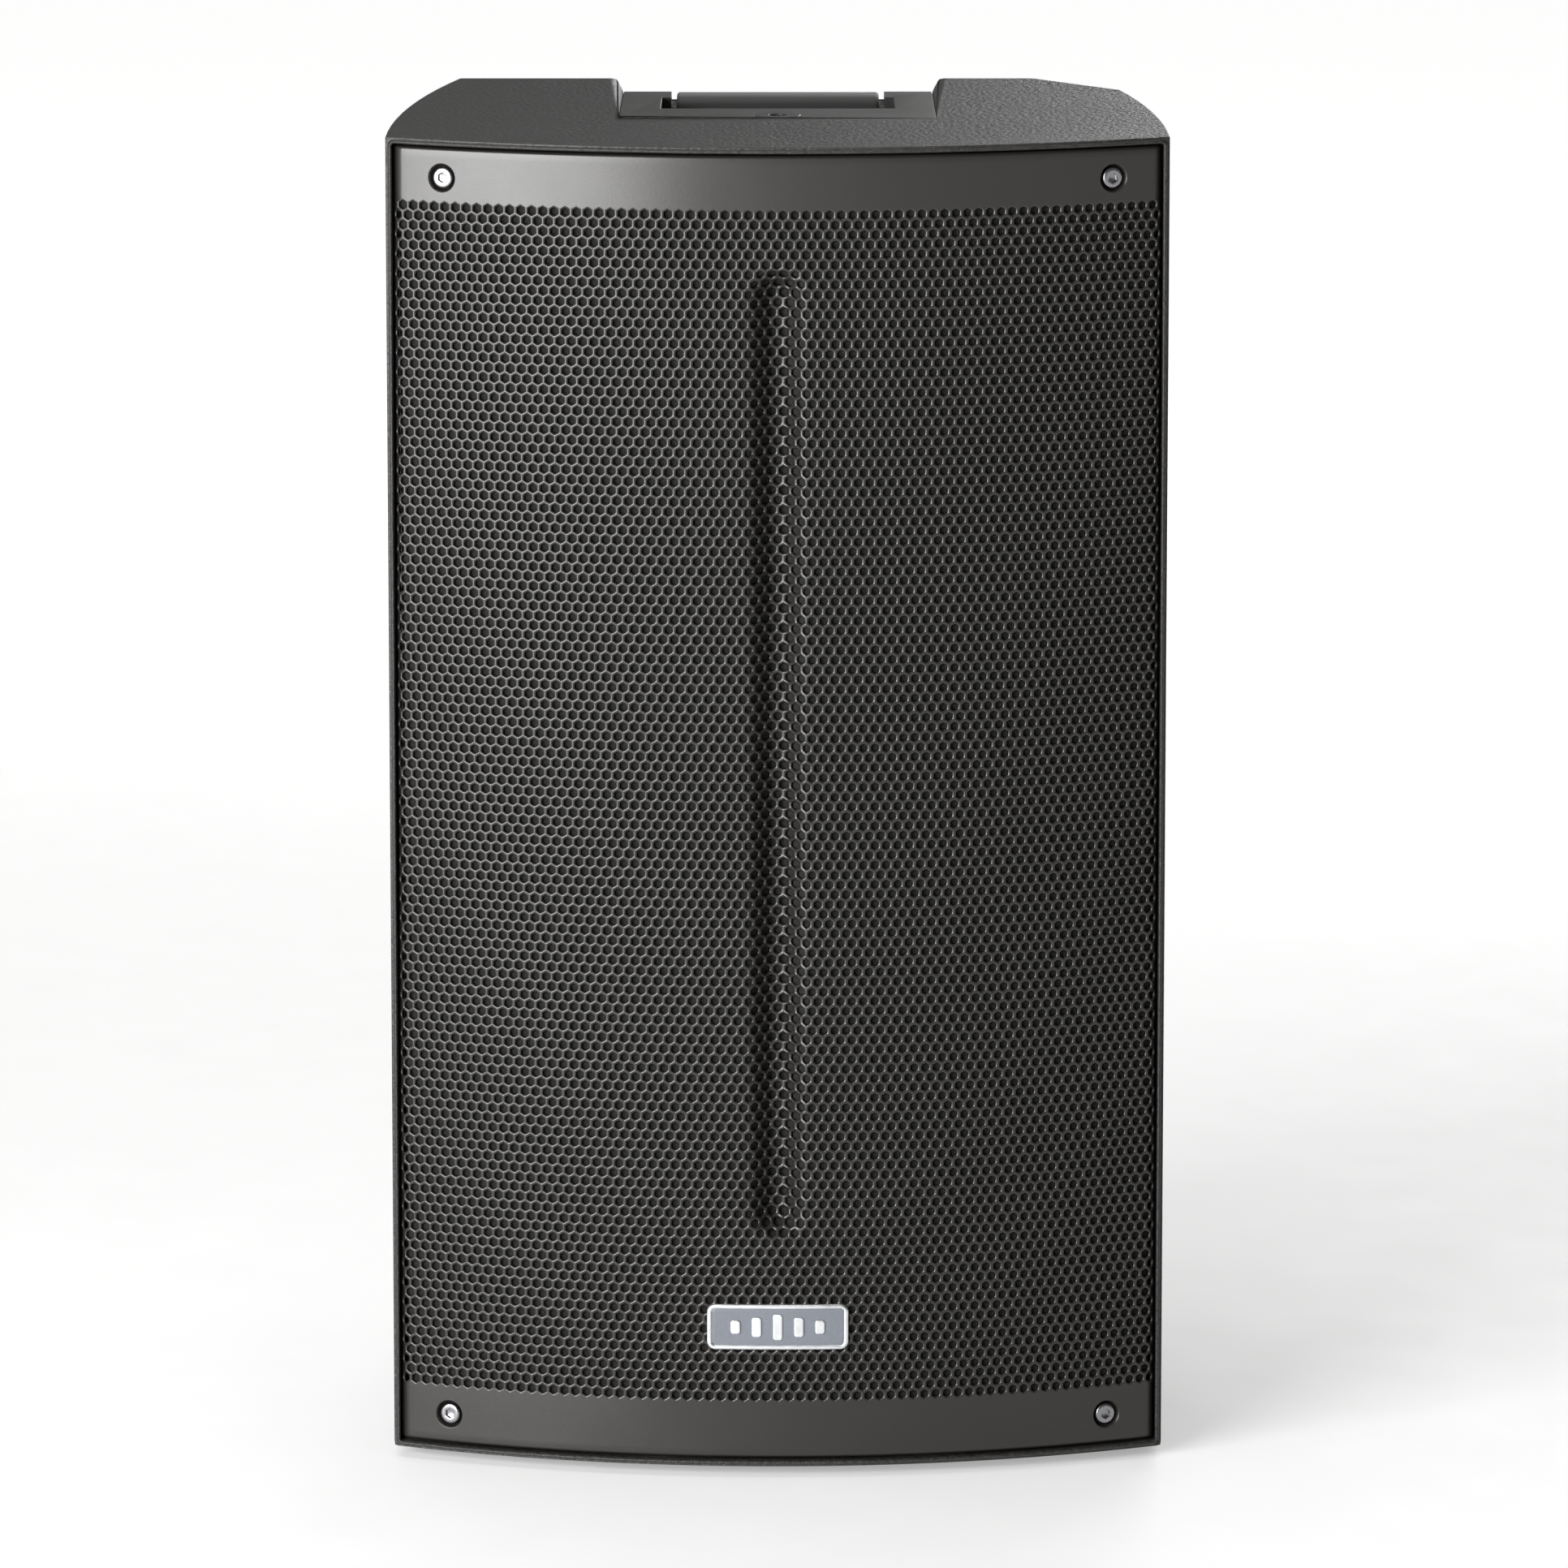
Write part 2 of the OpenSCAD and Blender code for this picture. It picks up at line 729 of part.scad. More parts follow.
module woofer_basket() color("#3b3c3e") {
    rim_z = gasket_t + flange_t;
    wall_r = basket_r - 0.5;
    difference() {
        on_woofer() difference() {
            rotate_extrude($fn = 128) polygon([
                [roll_out - 2, rim_z], [woofer_d / 2, rim_z], [woofer_d / 2, gasket_t],
                [wall_r, gasket_t], [wall_r, 0], [basket_floor_r, -basket_deep - basket_t],
                [coil_r + 2, -basket_deep - basket_t], [coil_r + 2, -basket_deep],
                [basket_floor_r - basket_t, -basket_deep], [90, spider_z - 4], [84, spider_z - 4],
                [84, spider_z - 1], [92, spider_z - 1], [wall_r - basket_t - 1, 0],
                [wall_r - basket_t - 1, rim_z - 2], [roll_out - 2, rim_z - 2]
            ]);
            for (a = [0:60:300]) rotate(a) translate([60, -26, -52]) cube([90, 52, 46]);
        }
        at_woofer_screws() cylinder(d = screw_d, h = 20, $fn = 24);
    }
    on_woofer() translate([-14, 96, spider_z + 2]) cube([28, 22, 2]);
}

module woofer_surround() color("#141414") {
    rim_z = gasket_t + flange_t;
    land = 1.2;
    roll = (roll_out - 2 - cone_r) / 2;
    middle = cone_r + clear + roll;
    on_woofer() rotate_extrude($fn = 128) union() {
        translate([roll_out - 2 - land, rim_z]) square([8 + land, land]);
        difference() {
            translate([middle, rim_z]) circle(r = roll);
            translate([middle, rim_z]) circle(r = roll - land);
            translate([middle - 2 * roll, rim_z - 2 * roll]) square([4 * roll, 2 * roll]);
        }
    }
}

module woofer_cone() color("#191919") {
    rim_z = gasket_t + flange_t;
    neck_r = coil_r;
    on_woofer() rotate_extrude($fn = 128) polygon([
        [neck_r, cone_neck], [cone_r, rim_z], [cone_r, rim_z + 1.5], [cone_r - 2, rim_z + 1.5],
        [neck_r, cone_neck + 2]
    ]);
}

module woofer_dust_cap() color("#101010") {
    cap_r = 62;
    rise = cap_r - sqrt(pow(cap_r, 2) - pow(coil_r, 2));
    on_woofer() intersection() {
        translate([0, 0, cone_neck]) cylinder(r = coil_r, h = rise + 2);
        translate([0, 0, cone_neck + rise - cap_r]) difference() {
            sphere(r = cap_r, $fn = 128);
            sphere(r = cap_r - 1, $fn = 128);
        }
    }
}

// The coil reaches past the top plate by its travel, so it stays in the gap
module woofer_voice_coil() color("#a5662f") {
    coil_l = basket_deep + basket_t + plate_t + cone_neck + cone_travel - 1;
    on_woofer() translate([0, 0, cone_neck - coil_l]) ring(coil_d, coil_d - 2 * former_t, coil_l);
}

// Corrugated disc between the basket's shelf and the coil former
module woofer_spider() color("#b58b45") {
    inner = coil_r + clear;
    outer = 91;
    waves = 5;
    step = (outer - 8 - inner) / (2 * waves);
    crest = [for (i = [0:2 * waves]) [inner + i * step, spider_z + (i % 2 == 0 ? 0 : 2.5)]];
    under = [for (i = [2 * waves:-1:0]) crest[i] - [0, 1]];
    on_woofer() rotate_extrude($fn = 128)
        polygon(concat(crest, [[outer, spider_z], [outer, spider_z - 1]], under));
}

module woofer_top_plate() color("#8f9092") {
    on_woofer() translate([0, 0, -basket_deep - basket_t - plate_t])
        ring(2 * 72, coil_d + 2 * magnet_gap, plate_t);
}

module woofer_magnet() color("#4b4d50") {
    on_woofer() translate([0, 0, -basket_deep - basket_t - plate_t - magnet_t])
        ring(2 * magnet_r, 2 * (coil_r + 8), magnet_t);
}

// Back plate with the pole and its vent
module woofer_yoke() color("#8f9092") {
    pole_r = coil_r - former_t - magnet_gap;
    back = -basket_deep - basket_t - plate_t - magnet_t - plate_t;
    on_woofer() difference() {
        union() {
            translate([0, 0, back]) cylinder(r = 72, h = plate_t);
            translate([0, 0, back]) cylinder(r = pole_r, h = 2 * plate_t + magnet_t);
        }
        translate([0, 0, back - 1]) cylinder(r = 12, h = 80);
    }
}

module woofer_screws() color("#8c8c8c")
    at_woofer_screws() translate([0, 0, gasket_t + flange_t]) screw(screw_d, 16, 9, 3, 4);

module woofer_terminals() color("#b23a2c")
    on_woofer() translate([-12, 102, spider_z - 8]) cube([24, 12, 10]);

// ---- horn and its driver ----

horn_flange_w = horn_w + 28;
horn_flange_h = horn_h + 28;
horn_flange_t = 5;
horn_wall = 3;
driver_flange_t = 6;
driver_plate_t = 8;
driver_magnet_t = 18;
driver_top_t = 7;
driver_cover_t = 18;
dome_d = 44;

module on_horn() facing_front(0, y_baffle, horn_z) children();

// Local frame on the driver's seat behind the throat: local z points to the rear
module on_driver()
    translate([0, y_baffle + horn_depth + driver_flange_t, horn_z]) rotate([-90, 0, 0]) children();

module at_horn_screws()
    on_horn() for (sx = [-1, 1], sy = [-1, 0, 1])
        translate([sx * (horn_flange_w / 2 - 7), sy * (horn_flange_h / 2 - 7), 0]) children();

// Flare from the mouth to the throat in two stages
module flare(grow) {
    mid_w = horn_w * 0.42;
    mid_h = horn_h * 0.42;
    mid_z = -horn_depth * 0.55;
    hull() {
        linear_extrude(horn_flange_t + 0.01)
            square([horn_w + 2 * grow, horn_h + 2 * grow], center = true);
        translate([0, 0, mid_z]) linear_extrude(0.01)
            rounded(mid_w + 2 * grow, mid_h + 2 * grow, 14);
    }
    hull() {
        translate([0, 0, mid_z]) linear_extrude(0.01)
            rounded(mid_w + 2 * grow, mid_h + 2 * grow, 14);
        translate([0, 0, -horn_depth]) cylinder(d = throat_d + 2 * grow, h = 0.01, $fn = 32);
    }
}

module horn() color("#1c1c1c") {
    difference() {
        union() {
            on_horn() linear_extrude(horn_flange_t) rounded(horn_flange_w, horn_flange_h, 8);
            on_horn() flare(horn_wall);
            on_horn() translate([0, 0, -horn_depth - driver_flange_t])
                cylinder(d = driver_d - 6, h = driver_flange_t);
        }
        on_horn() flare(0);
        on_horn() translate([0, 0, -horn_depth - driver_flange_t - 1])
            cylinder(d = throat_d, h = driver_flange_t + 2);
        at_horn_screws() translate([0, 0, -1]) cylinder(d = 4, h = 10, $fn = 24);
        at_driver_bolts() translate([0, 0, -driver_flange_t - 1]) cylinder(d = 6, h = 8, $fn = 24);
    }
}

module at_driver_bolts() on_driver() for (a = [45:90:315]) rotate(a) translate([34, 0, 0]) children();

module horn_screws() color("#3a3a3a")
    at_horn_screws() translate([0, 0, horn_flange_t]) screw(4, 14, 8, 2.5, 2.5);

// Base plate and pole, with the throat running through them to the diaphragm
module driver_yoke() color("#8f9092") {
    pole_l = driver_plate_t + driver_magnet_t + driver_top_t;
    on_driver() difference() {
        union() {
            cylinder(d = driver_d, h = driver_plate_t);
            cylinder(d = dome_d - 3.2, h = pole_l);
        }
        translate([0, 0, -1]) cylinder(d = throat_d, h = pole_l + 2);
        for (a = [45:90:315]) rotate(a) translate([34, 0, -1]) cylinder(d = 6, h = 20, $fn = 24);
    }
}

module driver_magnet() color("#4b4d50")
    on_driver() translate([0, 0, driver_plate_t]) ring(driver_d - 4, dome_d + 12, driver_magnet_t);

module driver_top_plate() color("#8f9092")
    on_driver() translate([0, 0, driver_plate_t + driver_magnet_t])
        ring(driver_d - 4, dome_d + 2.4, driver_top_t);

// Dome with its voice coil skirt reaching into the gap
module driver_diaphragm() color("#c9ccd0") {
    base = driver_plate_t + driver_magnet_t + driver_top_t + 1;
    dome_r = 27;
    on_driver() translate([0, 0, base]) {
        rise = sqrt(pow(dome_r, 2) - pow(dome_d / 2, 2));
        intersection() {
            translate([0, 0, -rise]) difference() {
                sphere(r = dome_r);
                sphere(r = dome_r - 0.6);
            }
            cylinder(d = dome_d, h = dome_r);
        }
        translate([0, 0, -7]) ring(dome_d, dome_d - 1, 7.4);
    }
}

module driver_rear_cover() color("#2b2b2b") {
    base = driver_plate_t + driver_magnet_t + driver_top_t;
    on_driver() translate([0, 0, base]) difference() {
        cylinder(d = driver_d - 4, h = driver_cover_t);
        translate([0, 0, -1]) cylinder(d = dome_d + 4, h = driver_cover_t - 1);
    }
}

module driver_bolts() color("#8c8c8c")
    at_driver_bolts() translate([0, 0, -driver_flange_t]) rotate([180, 0, 0]) screw(6, 13, 10, 4, 5);

// ---- ports and wadding ----

module at_ports() for (s = [-1, 1]) facing_front(s * port_x, y_baffle, port_z) children();

module port_tubes() color("#1e1e1e") at_ports() difference() {
    union() {
        cylinder(d = port_bore + 18, h = 3);
        translate([0, 0, 3 - port_l]) cylinder(d = port_bore + 2 * port_wall, h = port_l);
    }
    translate([0, 0, 2 - port_l]) cylinder(d = port_bore, h = port_l + 2);
}

// Polyester pad glued to the left wall
module damping_wadding() color("#d9d6cd") {
    intersection() {
        difference() {
            block(wall + clear, 0);
            block(wall + 22, 0);
        }
        box([-cab_w / 2, y_edge + 70, z_low + 140], [-cab_w / 4, y_seat - 30, horn_z - 60]);
    }
}

// ---- amplifier ----

module pot_hole() translate([0, 0, -panel_t - 1]) cylinder(d = 7, h = panel_t + 2, $fn = 32);

jack_w = 26;
jack_h = 31;
jack_hole = 19;
jack_body = 24;
jack_deep = 24;
latch_w = 7;
latch_t = 3.6;
latch_v = 12.2;
latch_travel = 2;
inlet_w = 52;
inlet_h = 50;
inlet_deep = 30;
drawer_w = 24;
drawer_h = 8;
drawer_v = -16;
drawer_slip = 0.25;
rocker_w = 25;
rocker_h = 20;
rocker_r = 8.7;
rocker_axis = 1;
rocker_tilt = 9;
flange_plate = 2;
button_d = 8;
spindle_d = 6;

module at_jacks(us) for (u = us) on_panel(u, jack_v) children();

module at_posts() for (su = [-1, 1], sv = [-1, 1])
    on_panel(su * (amp_w / 2 - 18), sv * (amp_h / 2 - 22)) children();

module at_led() for (u = led_us) on_panel(u, knob_v) children();

module amp_panel() color("#26272a") {
    difference() {
        union() {
            on_panel(0, 0) translate([0, 0, -panel_t]) linear_extrude(panel_t) rounded(amp_w, amp_h, 4);
            at_posts() translate([0, 0, -board_gap]) cylinder(d = 8, h = board_gap);
        }
        at_jacks(concat(jack_us, [link_u])) translate([0, 0, -panel_t - 1])
            cylinder(d = jack_body, h = panel_t + 2);
        for (u = jack_us) on_panel(u, jack_v) translate([-latch_w / 2 - 0.5, -latch_v - 2.5, -panel_t - 1])
            cube([latch_w + 1, 5, panel_t + 2]);
        on_panel(inlet_u, mains_v) translate([0, 0, -panel_t - 1])
            linear_extrude(panel_t + 2) square([inlet_w - 6, inlet_h - 6], center = true);
        on_panel(rocker_u, mains_v) translate([0, 0, -panel_t - 1])
            linear_extrude(panel_t + 2) square([rocker_w - 4, rocker_h + 2], center = true);
        for (u = jack_us) on_panel(u, knob_v) pot_hole();
        on_panel(button_u, knob_v) translate([0, 0, -panel_t - 1])
            cylinder(d = button_d + 0.6, h = panel_t + 2, $fn = 32);
        at_led() translate([0, 0, -panel_t - 1]) cylinder(d = 5, h = panel_t + 2, $fn = 24);
        at_panel_screws() translate([0, 0, -panel_t - 1]) cylinder(d = 4, h = 10, $fn = 24);
    }
}

module amp_gasket() color("#202020") difference() {
    on_panel(0, 0) translate([0, 0, -panel_t - amp_gasket_t]) linear_extrude(amp_gasket_t) difference() {
        square([amp_w, amp_h], center = true);
        square([amp_w - 20, amp_h - 20], center = true);
    }
    at_panel_screws() translate([0, 0, -10]) cylinder(d = 4, h = 20, $fn = 24);
}

module panel_screws() color("#2a2a2a") at_panel_screws() screw(4, 13, 7.4, 2.4, 2.5);

module heatsink() color("#1f2023") {
    sink_w = amp_w - 26;
    sink_h = amp_h / 2 - 46;
    fins = 12;
    on_panel(0, amp_h / 4 + 11) linear_extrude(4) square([sink_w, sink_h], center = true);
    on_panel(0, amp_h / 4 + 11) for (i = [0:fins - 1])
        translate([-sink_w / 2 + i * (sink_w - 3) / (fins - 1), -sink_h / 2, 4]) cube([3, sink_h, 10]);
}

module main_board() color("#20603a") {
    on_panel(0, 0) translate([0, 0, -board_gap - board_t])
        linear_extrude(board_t) square([amp_w - 24, amp_h - 30], center = true);
}

module transformer() color("#c7a23a") on_panel(0, -45) translate([0, 0, -board_gap - board_t - 32])
    ring(76, 22, 32);

module capacitors() color("#2b4a86")
    for (i = [0:3]) on_panel(-45 + i * 30, 120) translate([0, 0, -board_gap]) cylinder(d = 22, h = 34);

// Tube along a route: rings of points across the run of the route
module tube(route, r) {
    sides = 8;
    n = len(route);
    function run(i) = route[min(i + 1, n - 1)] - route[max(i - 1, 0)];
    function across(d) = let (c = cross(d, [1, 0, 0])) c / norm(c);
    points = [for (i = [0:n - 1]) let (d = run(i), a = across(d), b = cross(d, a) / norm(d))
        for (k = [0:sides - 1]) route[i] + r * (cos(k * 360 / sides) * a + sin(k * 360 / sides) * b)];
    walls = [for (i = [0:n - 2], k = [0:sides - 1]) let (m = (k + 1) % sides)
        [i * sides + k, (i + 1) * sides + k, (i + 1) * sides + m, i * sides + m]];
    ends = [[for (k = [0:sides - 1]) k], [for (k = [sides - 1:-1:0]) (n - 1) * sides + k]];
    polyhedron(points, concat(walls, ends));
}

// Smooth route between two places that leaves and arrives along Y
function route(from, to) = [for (t = [0:0.1:1]) let (s = t * t * (3 - 2 * t))
    [from[0] + (to[0] - from[0]) * s, from[1] + (to[1] - from[1]) * t, from[2] + (to[2] - from[2]) * s]];

module speaker_wires() color("#a02020") {
    y_board = y_panel - board_gap - board_t - clear;
    y_term = y_baffle - spider_z + 8 + clear;
    y_driver = y_baffle + horn_depth + driver_flange_t + driver_plate_t + driver_magnet_t
        + driver_top_t + driver_cover_t + clear;
    for (s = [-1, 1]) {
        tube(route([s * 5, y_term, woofer_z + 108], [amp_x + s * 5, y_board, amp_z + 78]), 1.4);
        tube(route([s * 5, y_driver, horn_z - 14], [amp_x + s * 5, y_board, amp_z + 112]), 1.2);
    }
}

module mains_inlet() color("#151515") on_panel(inlet_u, mains_v) {
    difference() {
        union() {
            linear_extrude(flange_plate) rounded(inlet_w, inlet_h, 3);
            translate([0, 0, -inlet_deep]) linear_extrude(inlet_deep)
                square([inlet_w - 6, inlet_h - 6], center = true);
        }
        translate([0, -8, -17]) linear_extrude(40) rounded(24.6, 16.6, 3);
        translate([-drawer_w / 2 - drawer_slip, -drawer_v - drawer_h / 2 - drawer_slip, -23])
            cube([drawer_w + 2 * drawer_slip, drawer_h + 2 * drawer_slip, 40]);
    }
    for (u = [-7, 0, 7]) translate([u - 1, -10 + (u == 0 ? -3 : 1), -17]) cube([2, 4, 13]);
}

module fuse_drawer() color("#202020") on_panel(inlet_u, mains_v) {
    difference() {
        translate([-drawer_w / 2, -drawer_v - drawer_h / 2, -22]) cube([drawer_w, drawer_h, 25]);
        translate([-drawer_w / 2 + 2, -drawer_v - drawer_h / 2 - 1, -19]) cube([drawer_w - 4, drawer_h - 1, 15]);
        translate([-4, -drawer_v - drawer_h / 2 - 1, 1]) cube([8, 2.5, 1.2]);
    }
}

module rocker_frame() color("#131313") on_panel(rocker_u, mains_v) {
    difference() {
        union() {
            linear_extrude(flange_plate) rounded(rocker_w, rocker_h + 6, 2);
            translate([0, 0, -14]) linear_extrude(14) square([rocker_w - 4, rocker_h + 2], center = true);
        }
        translate([0, 0, -11]) linear_extrude(20) square([rocker_w - 11, 2 * rocker_r + 0.8], center = true);
    }
}

// Rocker about local x: a drum with a shallow V across its top, tilted to its off side
module power_rocker() color("#7c1f1a") on_panel(rocker_u, mains_v) {
    long = rocker_w - 11.6;
    translate([-long / 2, 0, rocker_axis]) rotate([rocker_tilt, 0, 0]) rotate([90, 0, 90])
        linear_extrude(long) intersection() {
            circle(r = rocker_r);
            polygon([[-rocker_r, -3], [rocker_r, -3], [rocker_r, 5.4], [0, 3.4], [-rocker_r, 5.4]]);
        }
}

// Housing of a round socket: flange, body and insulator with its contact holes
module jack(contacts_r, latch) {
    difference() {
        union() {
            linear_extrude(flange_plate) rounded(jack_w, jack_h, 3);
            translate([0, 0, -jack_deep]) cylinder(d = jack_body, h = jack_deep);
        }
        translate([0, 0, -12]) cylinder(d = jack_hole, h = 20);
        for (a = [30, 150, 270]) rotate(a) translate([6.2, 0, -20]) cylinder(r = contacts_r, h = 20, $fn = 24);
        if (latch) {
            translate([0, 0, -20]) cylinder(d = 6.6, h = 20, $fn = 32);
            translate([-latch_w / 2 - 0.2, -latch_v - latch_t / 2 - 0.2, -9]) cube([latch_w + 0.4, latch_t + 0.4, 20]);
        }
    }
}

module input_jacks() color("#17181a") at_jacks(jack_us) jack(1.4, true);

module latch(u) color("#b4b6ba") on_panel(u, jack_v)
    translate([-latch_w / 2, -latch_v - latch_t / 2, latch_travel - 8]) cube([latch_w, latch_t, 8.5]);

module latch_a() latch(jack_us[0]);

module latch_b() latch(jack_us[1]);

// Male socket for the link output: three pins stand in the well
module link_jack() color("#17181a") on_panel(link_u, jack_v) {
    jack(1.3, false);
    for (a = [30, 150, 270]) rotate(a) translate([6.2, 0, -20]) cylinder(r = 1.3, h = 18, $fn = 24);
}

module level_knob(u) color("#2e2f31") on_panel(u, knob_v) difference() {
    union() {
        translate([0, 0, 1]) cylinder(d = knob_d, h = 3);
        translate([0, 0, 4]) cylinder(d = knob_d - 3, h = 8);
    }
    cylinder(d = spindle_d + 2 * slip, h = 9, $fn = 48);
    translate([-0.5, -knob_d, 11]) cube([1, knob_d, 3]);
}

module level_knob_a() level_knob(jack_us[0]);

module level_knob_b() level_knob(jack_us[1]);

// Potentiometers with their spindles, and the push switch's body
module control_bodies() color("#9aa0a8") {
    for (u = jack_us) on_panel(u, knob_v) {
        translate([-8, -8, -panel_t - 12]) cube([16, 16, 12]);
        translate([0, 0, -panel_t]) cylinder(d = 7, h = panel_t, $fn = 32);
        translate([0, 0, -panel_t]) cylinder(d = spindle_d, h = panel_t + 8.8, $fn = 48);
    }
    on_panel(button_u, knob_v) difference() {
        translate([-7, -7, -panel_t - 16]) cube([14, 14, 16]);
        translate([0, 0, -panel_t - 11]) cylinder(d = button_d + 0.5, h = 20, $fn = 32);
    }
}

module mode_button() color("#c8c9cb") on_panel(button_u, knob_v)
    translate([0, 0, -panel_t - 7]) cylinder(d = button_d, h = panel_t + 11);

module status_leds() color("#37c05a")
    at_led() translate([0, 0, -panel_t - 3]) cylinder(d = 5, h = panel_t + 3.6, $fn = 24);

cabinet_shell();
front_baffle();
baffle_screws();
grille();
grille_foam();
grille_screws();
badge_plate();
badge_emblem();
handle_tray();
handle_core();
handle_grip();
handle_screws();
flying_inserts();
pole_socket();
pole_socket_screws();
rubber_feet();
foot_screws();
woofer_basket();
woofer_gasket();
woofer_top_plate();
woofer_magnet();
woofer_yoke();
woofer_cone();
woofer_dust_cap();
woofer_voice_coil();
woofer_surround();
woofer_spider();
woofer_screws();
woofer_terminals();
horn();
horn_screws();
driver_yoke();
driver_magnet();
driver_top_plate();
driver_diaphragm();
driver_rear_cover();
driver_bolts();
port_tubes();
damping_wadding();
amp_panel();
amp_gasket();
panel_screws();
heatsink();
main_board();
transformer();
capacitors();
speaker_wires();
mains_inlet();
fuse_drawer();
rocker_frame();
power_rocker();
input_jacks();
latch_a();
latch_b();
link_jack();
level_knob_a();
level_knob_b();
control_bodies();
mode_button();
status_leds();
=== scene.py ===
"""Looks of a powered two-way loudspeaker cabinet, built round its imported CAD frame.

Metres, in the frame's own axes: the grille faces -Y, +X is on the right of someone who faces it,
and the floor is at z = 0.
"""

import json
import math

import bmesh
import bpy
import numpy as np
from bpy.props import FloatProperty, FloatVectorProperty, IntProperty, PointerProperty
from bpy.types import Operator, Panel, PropertyGroup
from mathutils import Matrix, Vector


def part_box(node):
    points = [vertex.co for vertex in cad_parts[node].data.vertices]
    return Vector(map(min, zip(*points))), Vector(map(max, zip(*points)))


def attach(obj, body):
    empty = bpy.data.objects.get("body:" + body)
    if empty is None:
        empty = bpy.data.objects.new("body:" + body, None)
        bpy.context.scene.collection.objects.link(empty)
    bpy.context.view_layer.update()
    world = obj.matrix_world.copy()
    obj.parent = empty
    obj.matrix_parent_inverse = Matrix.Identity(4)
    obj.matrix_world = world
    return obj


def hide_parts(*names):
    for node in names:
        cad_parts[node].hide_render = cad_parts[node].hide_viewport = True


bl_info = {
    "name": "Loudspeaker Cabinet Looks",
    "version": (1, 0, 0),
    "blender": (4, 5, 0),
    "location": "3D View > Sidebar > Cabinet",
    "description": "Adds the visible pieces, finishes and studio of a loudspeaker cabinet",
    "category": "Add Mesh",
}

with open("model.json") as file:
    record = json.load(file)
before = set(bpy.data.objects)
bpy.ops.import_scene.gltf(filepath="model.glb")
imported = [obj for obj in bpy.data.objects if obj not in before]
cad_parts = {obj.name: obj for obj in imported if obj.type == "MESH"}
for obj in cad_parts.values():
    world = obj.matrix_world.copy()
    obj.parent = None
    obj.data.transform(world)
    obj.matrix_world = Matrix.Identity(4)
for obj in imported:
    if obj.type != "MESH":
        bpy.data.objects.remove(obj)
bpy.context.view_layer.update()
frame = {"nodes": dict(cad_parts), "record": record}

MM = 0.001
BODY = "cabinet"
# Points of the foam sheet down its height and along its bow, its margin at the top and bottom,
# its gap behind the grille, the height of its ripple and its thickness
FOAM_ROWS, FOAM_COLUMNS = 272, 172
FOAM_MARGIN = 22 * MM
FOAM_GAP, FOAM_RIPPLE = 0.3 * MM, 0.24 * MM
FOAM_THICK = 1.4 * MM
# Points of the wadding pad up its height and round it, the radius of the bowed wall it lies on, the
# distance of its middle from that wall and its half thickness
PAD_ROWS, PAD_COLUMNS = 60, 64
PAD_LEAN_R = 0.91
PAD_MIDDLE, PAD_HALF = 11 * MM, 9 * MM
# Squares across the plain patch of the band that holds a screw's cup, and half its width
CUP_CELLS, CUP_HALF_SQUARE = 7, 9.4 * MM
# Heights of the badge's five plain bars
BAR_HEIGHTS = tuple(height * MM for height in (6.5, 9.5, 12.5, 9.5, 6.5))
SHELL_LOW, SHELL_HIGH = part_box("cabinet_shell")
GRILLE_LOW, GRILLE_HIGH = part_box("grille")
GRIP_LOW, GRIP_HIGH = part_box("handle_grip")
SLOT_OF = {part["node"]: part["material_slot"] for part in frame["record"]["subparts"]}
BODY_OF = {node: body for body, nodes in frame["record"]["behaviour"]["bodies"].items()
           for node in nodes}

# Radius of the bowed front and the depth of its axis, from the shell's width and its bulge
BULGE = 40 * MM
HALF_W = SHELL_HIGH.x
FRONT_R = (HALF_W ** 2 + BULGE ** 2) / (2 * BULGE)
FRONT_CY = SHELL_LOW.y + FRONT_R
EDGE_Y = SHELL_LOW.y + BULGE


def linear(colour):
    """Linear RGBA of an sRGB hex colour such as "#2b2b2a"."""
    parts = [int(colour[i:i + 2], 16) / 255 for i in (1, 3, 5)]
    return tuple(c / 12.92 if c <= 0.04045 else ((c + 0.055) / 1.055) ** 2.4 for c in parts) + (1.0,)


def colour_property(name, text, colour):
    """A colour setting whose default is an sRGB hex value."""
    return FloatVectorProperty(name=name, description=text, subtype="COLOR", size=4,
                               min=0.0, max=1.0, default=linear(colour))


def length_property(name, text, metres):
    """A length setting in metres."""
    return FloatProperty(name=name, description=text, subtype="DISTANCE", unit="LENGTH",
                         precision=5, default=metres)


# ---- settings ----

class CabinetGrilleSettings(PropertyGroup):
    """Sizes of the perforated sheet."""
    pitch: length_property("Pitch", "Distance between the middles of two neighbouring holes", 5.377 * MM)
    hole_flat: length_property("Hole flat", "Radius of a hole towards its neighbours", 1.92 * MM)
    hole_corner: length_property("Hole corner", "Radius of a hole between its neighbours", 2.15 * MM)
    rows: IntProperty(name="Rows", description="Rows of holes from bottom to top", default=122, min=4)
    half_columns: IntProperty(name="Half columns", description="Holes on each side of the middle one",
                              default=34, min=4)
    first_row: length_property("First row", "Middle of the lowest row above the shell's bottom", 34 * MM)
    sheet: length_property("Sheet", "Thickness of the steel sheet", 1.5 * MM)
    roll: length_property("Rolled edge", "Radius of the rolled side edges", 4 * MM)
    fold: length_property("Fold", "Radius of the folds at the top and bottom", 1.6 * MM)
    rim: length_property("Rim", "Depth of the folded rim", 8 * MM)
    groove_half: length_property("Groove half width", "Half the groove's width at the face", 12.7 * MM)
    groove_floor: length_property("Groove floor", "Half the width of the groove's floor", 3.2 * MM)
    groove_depth: length_property("Groove depth", "Depth of the groove", 9 * MM)
    groove_low: length_property("Groove bottom", "Lower end above the shell's bottom", 111 * MM)
    groove_high: length_property("Groove top", "Upper end below the shell's top", 57 * MM)
    paint: colour_property("Paint", "Colour of the grille's paint", "#1e1c1a")


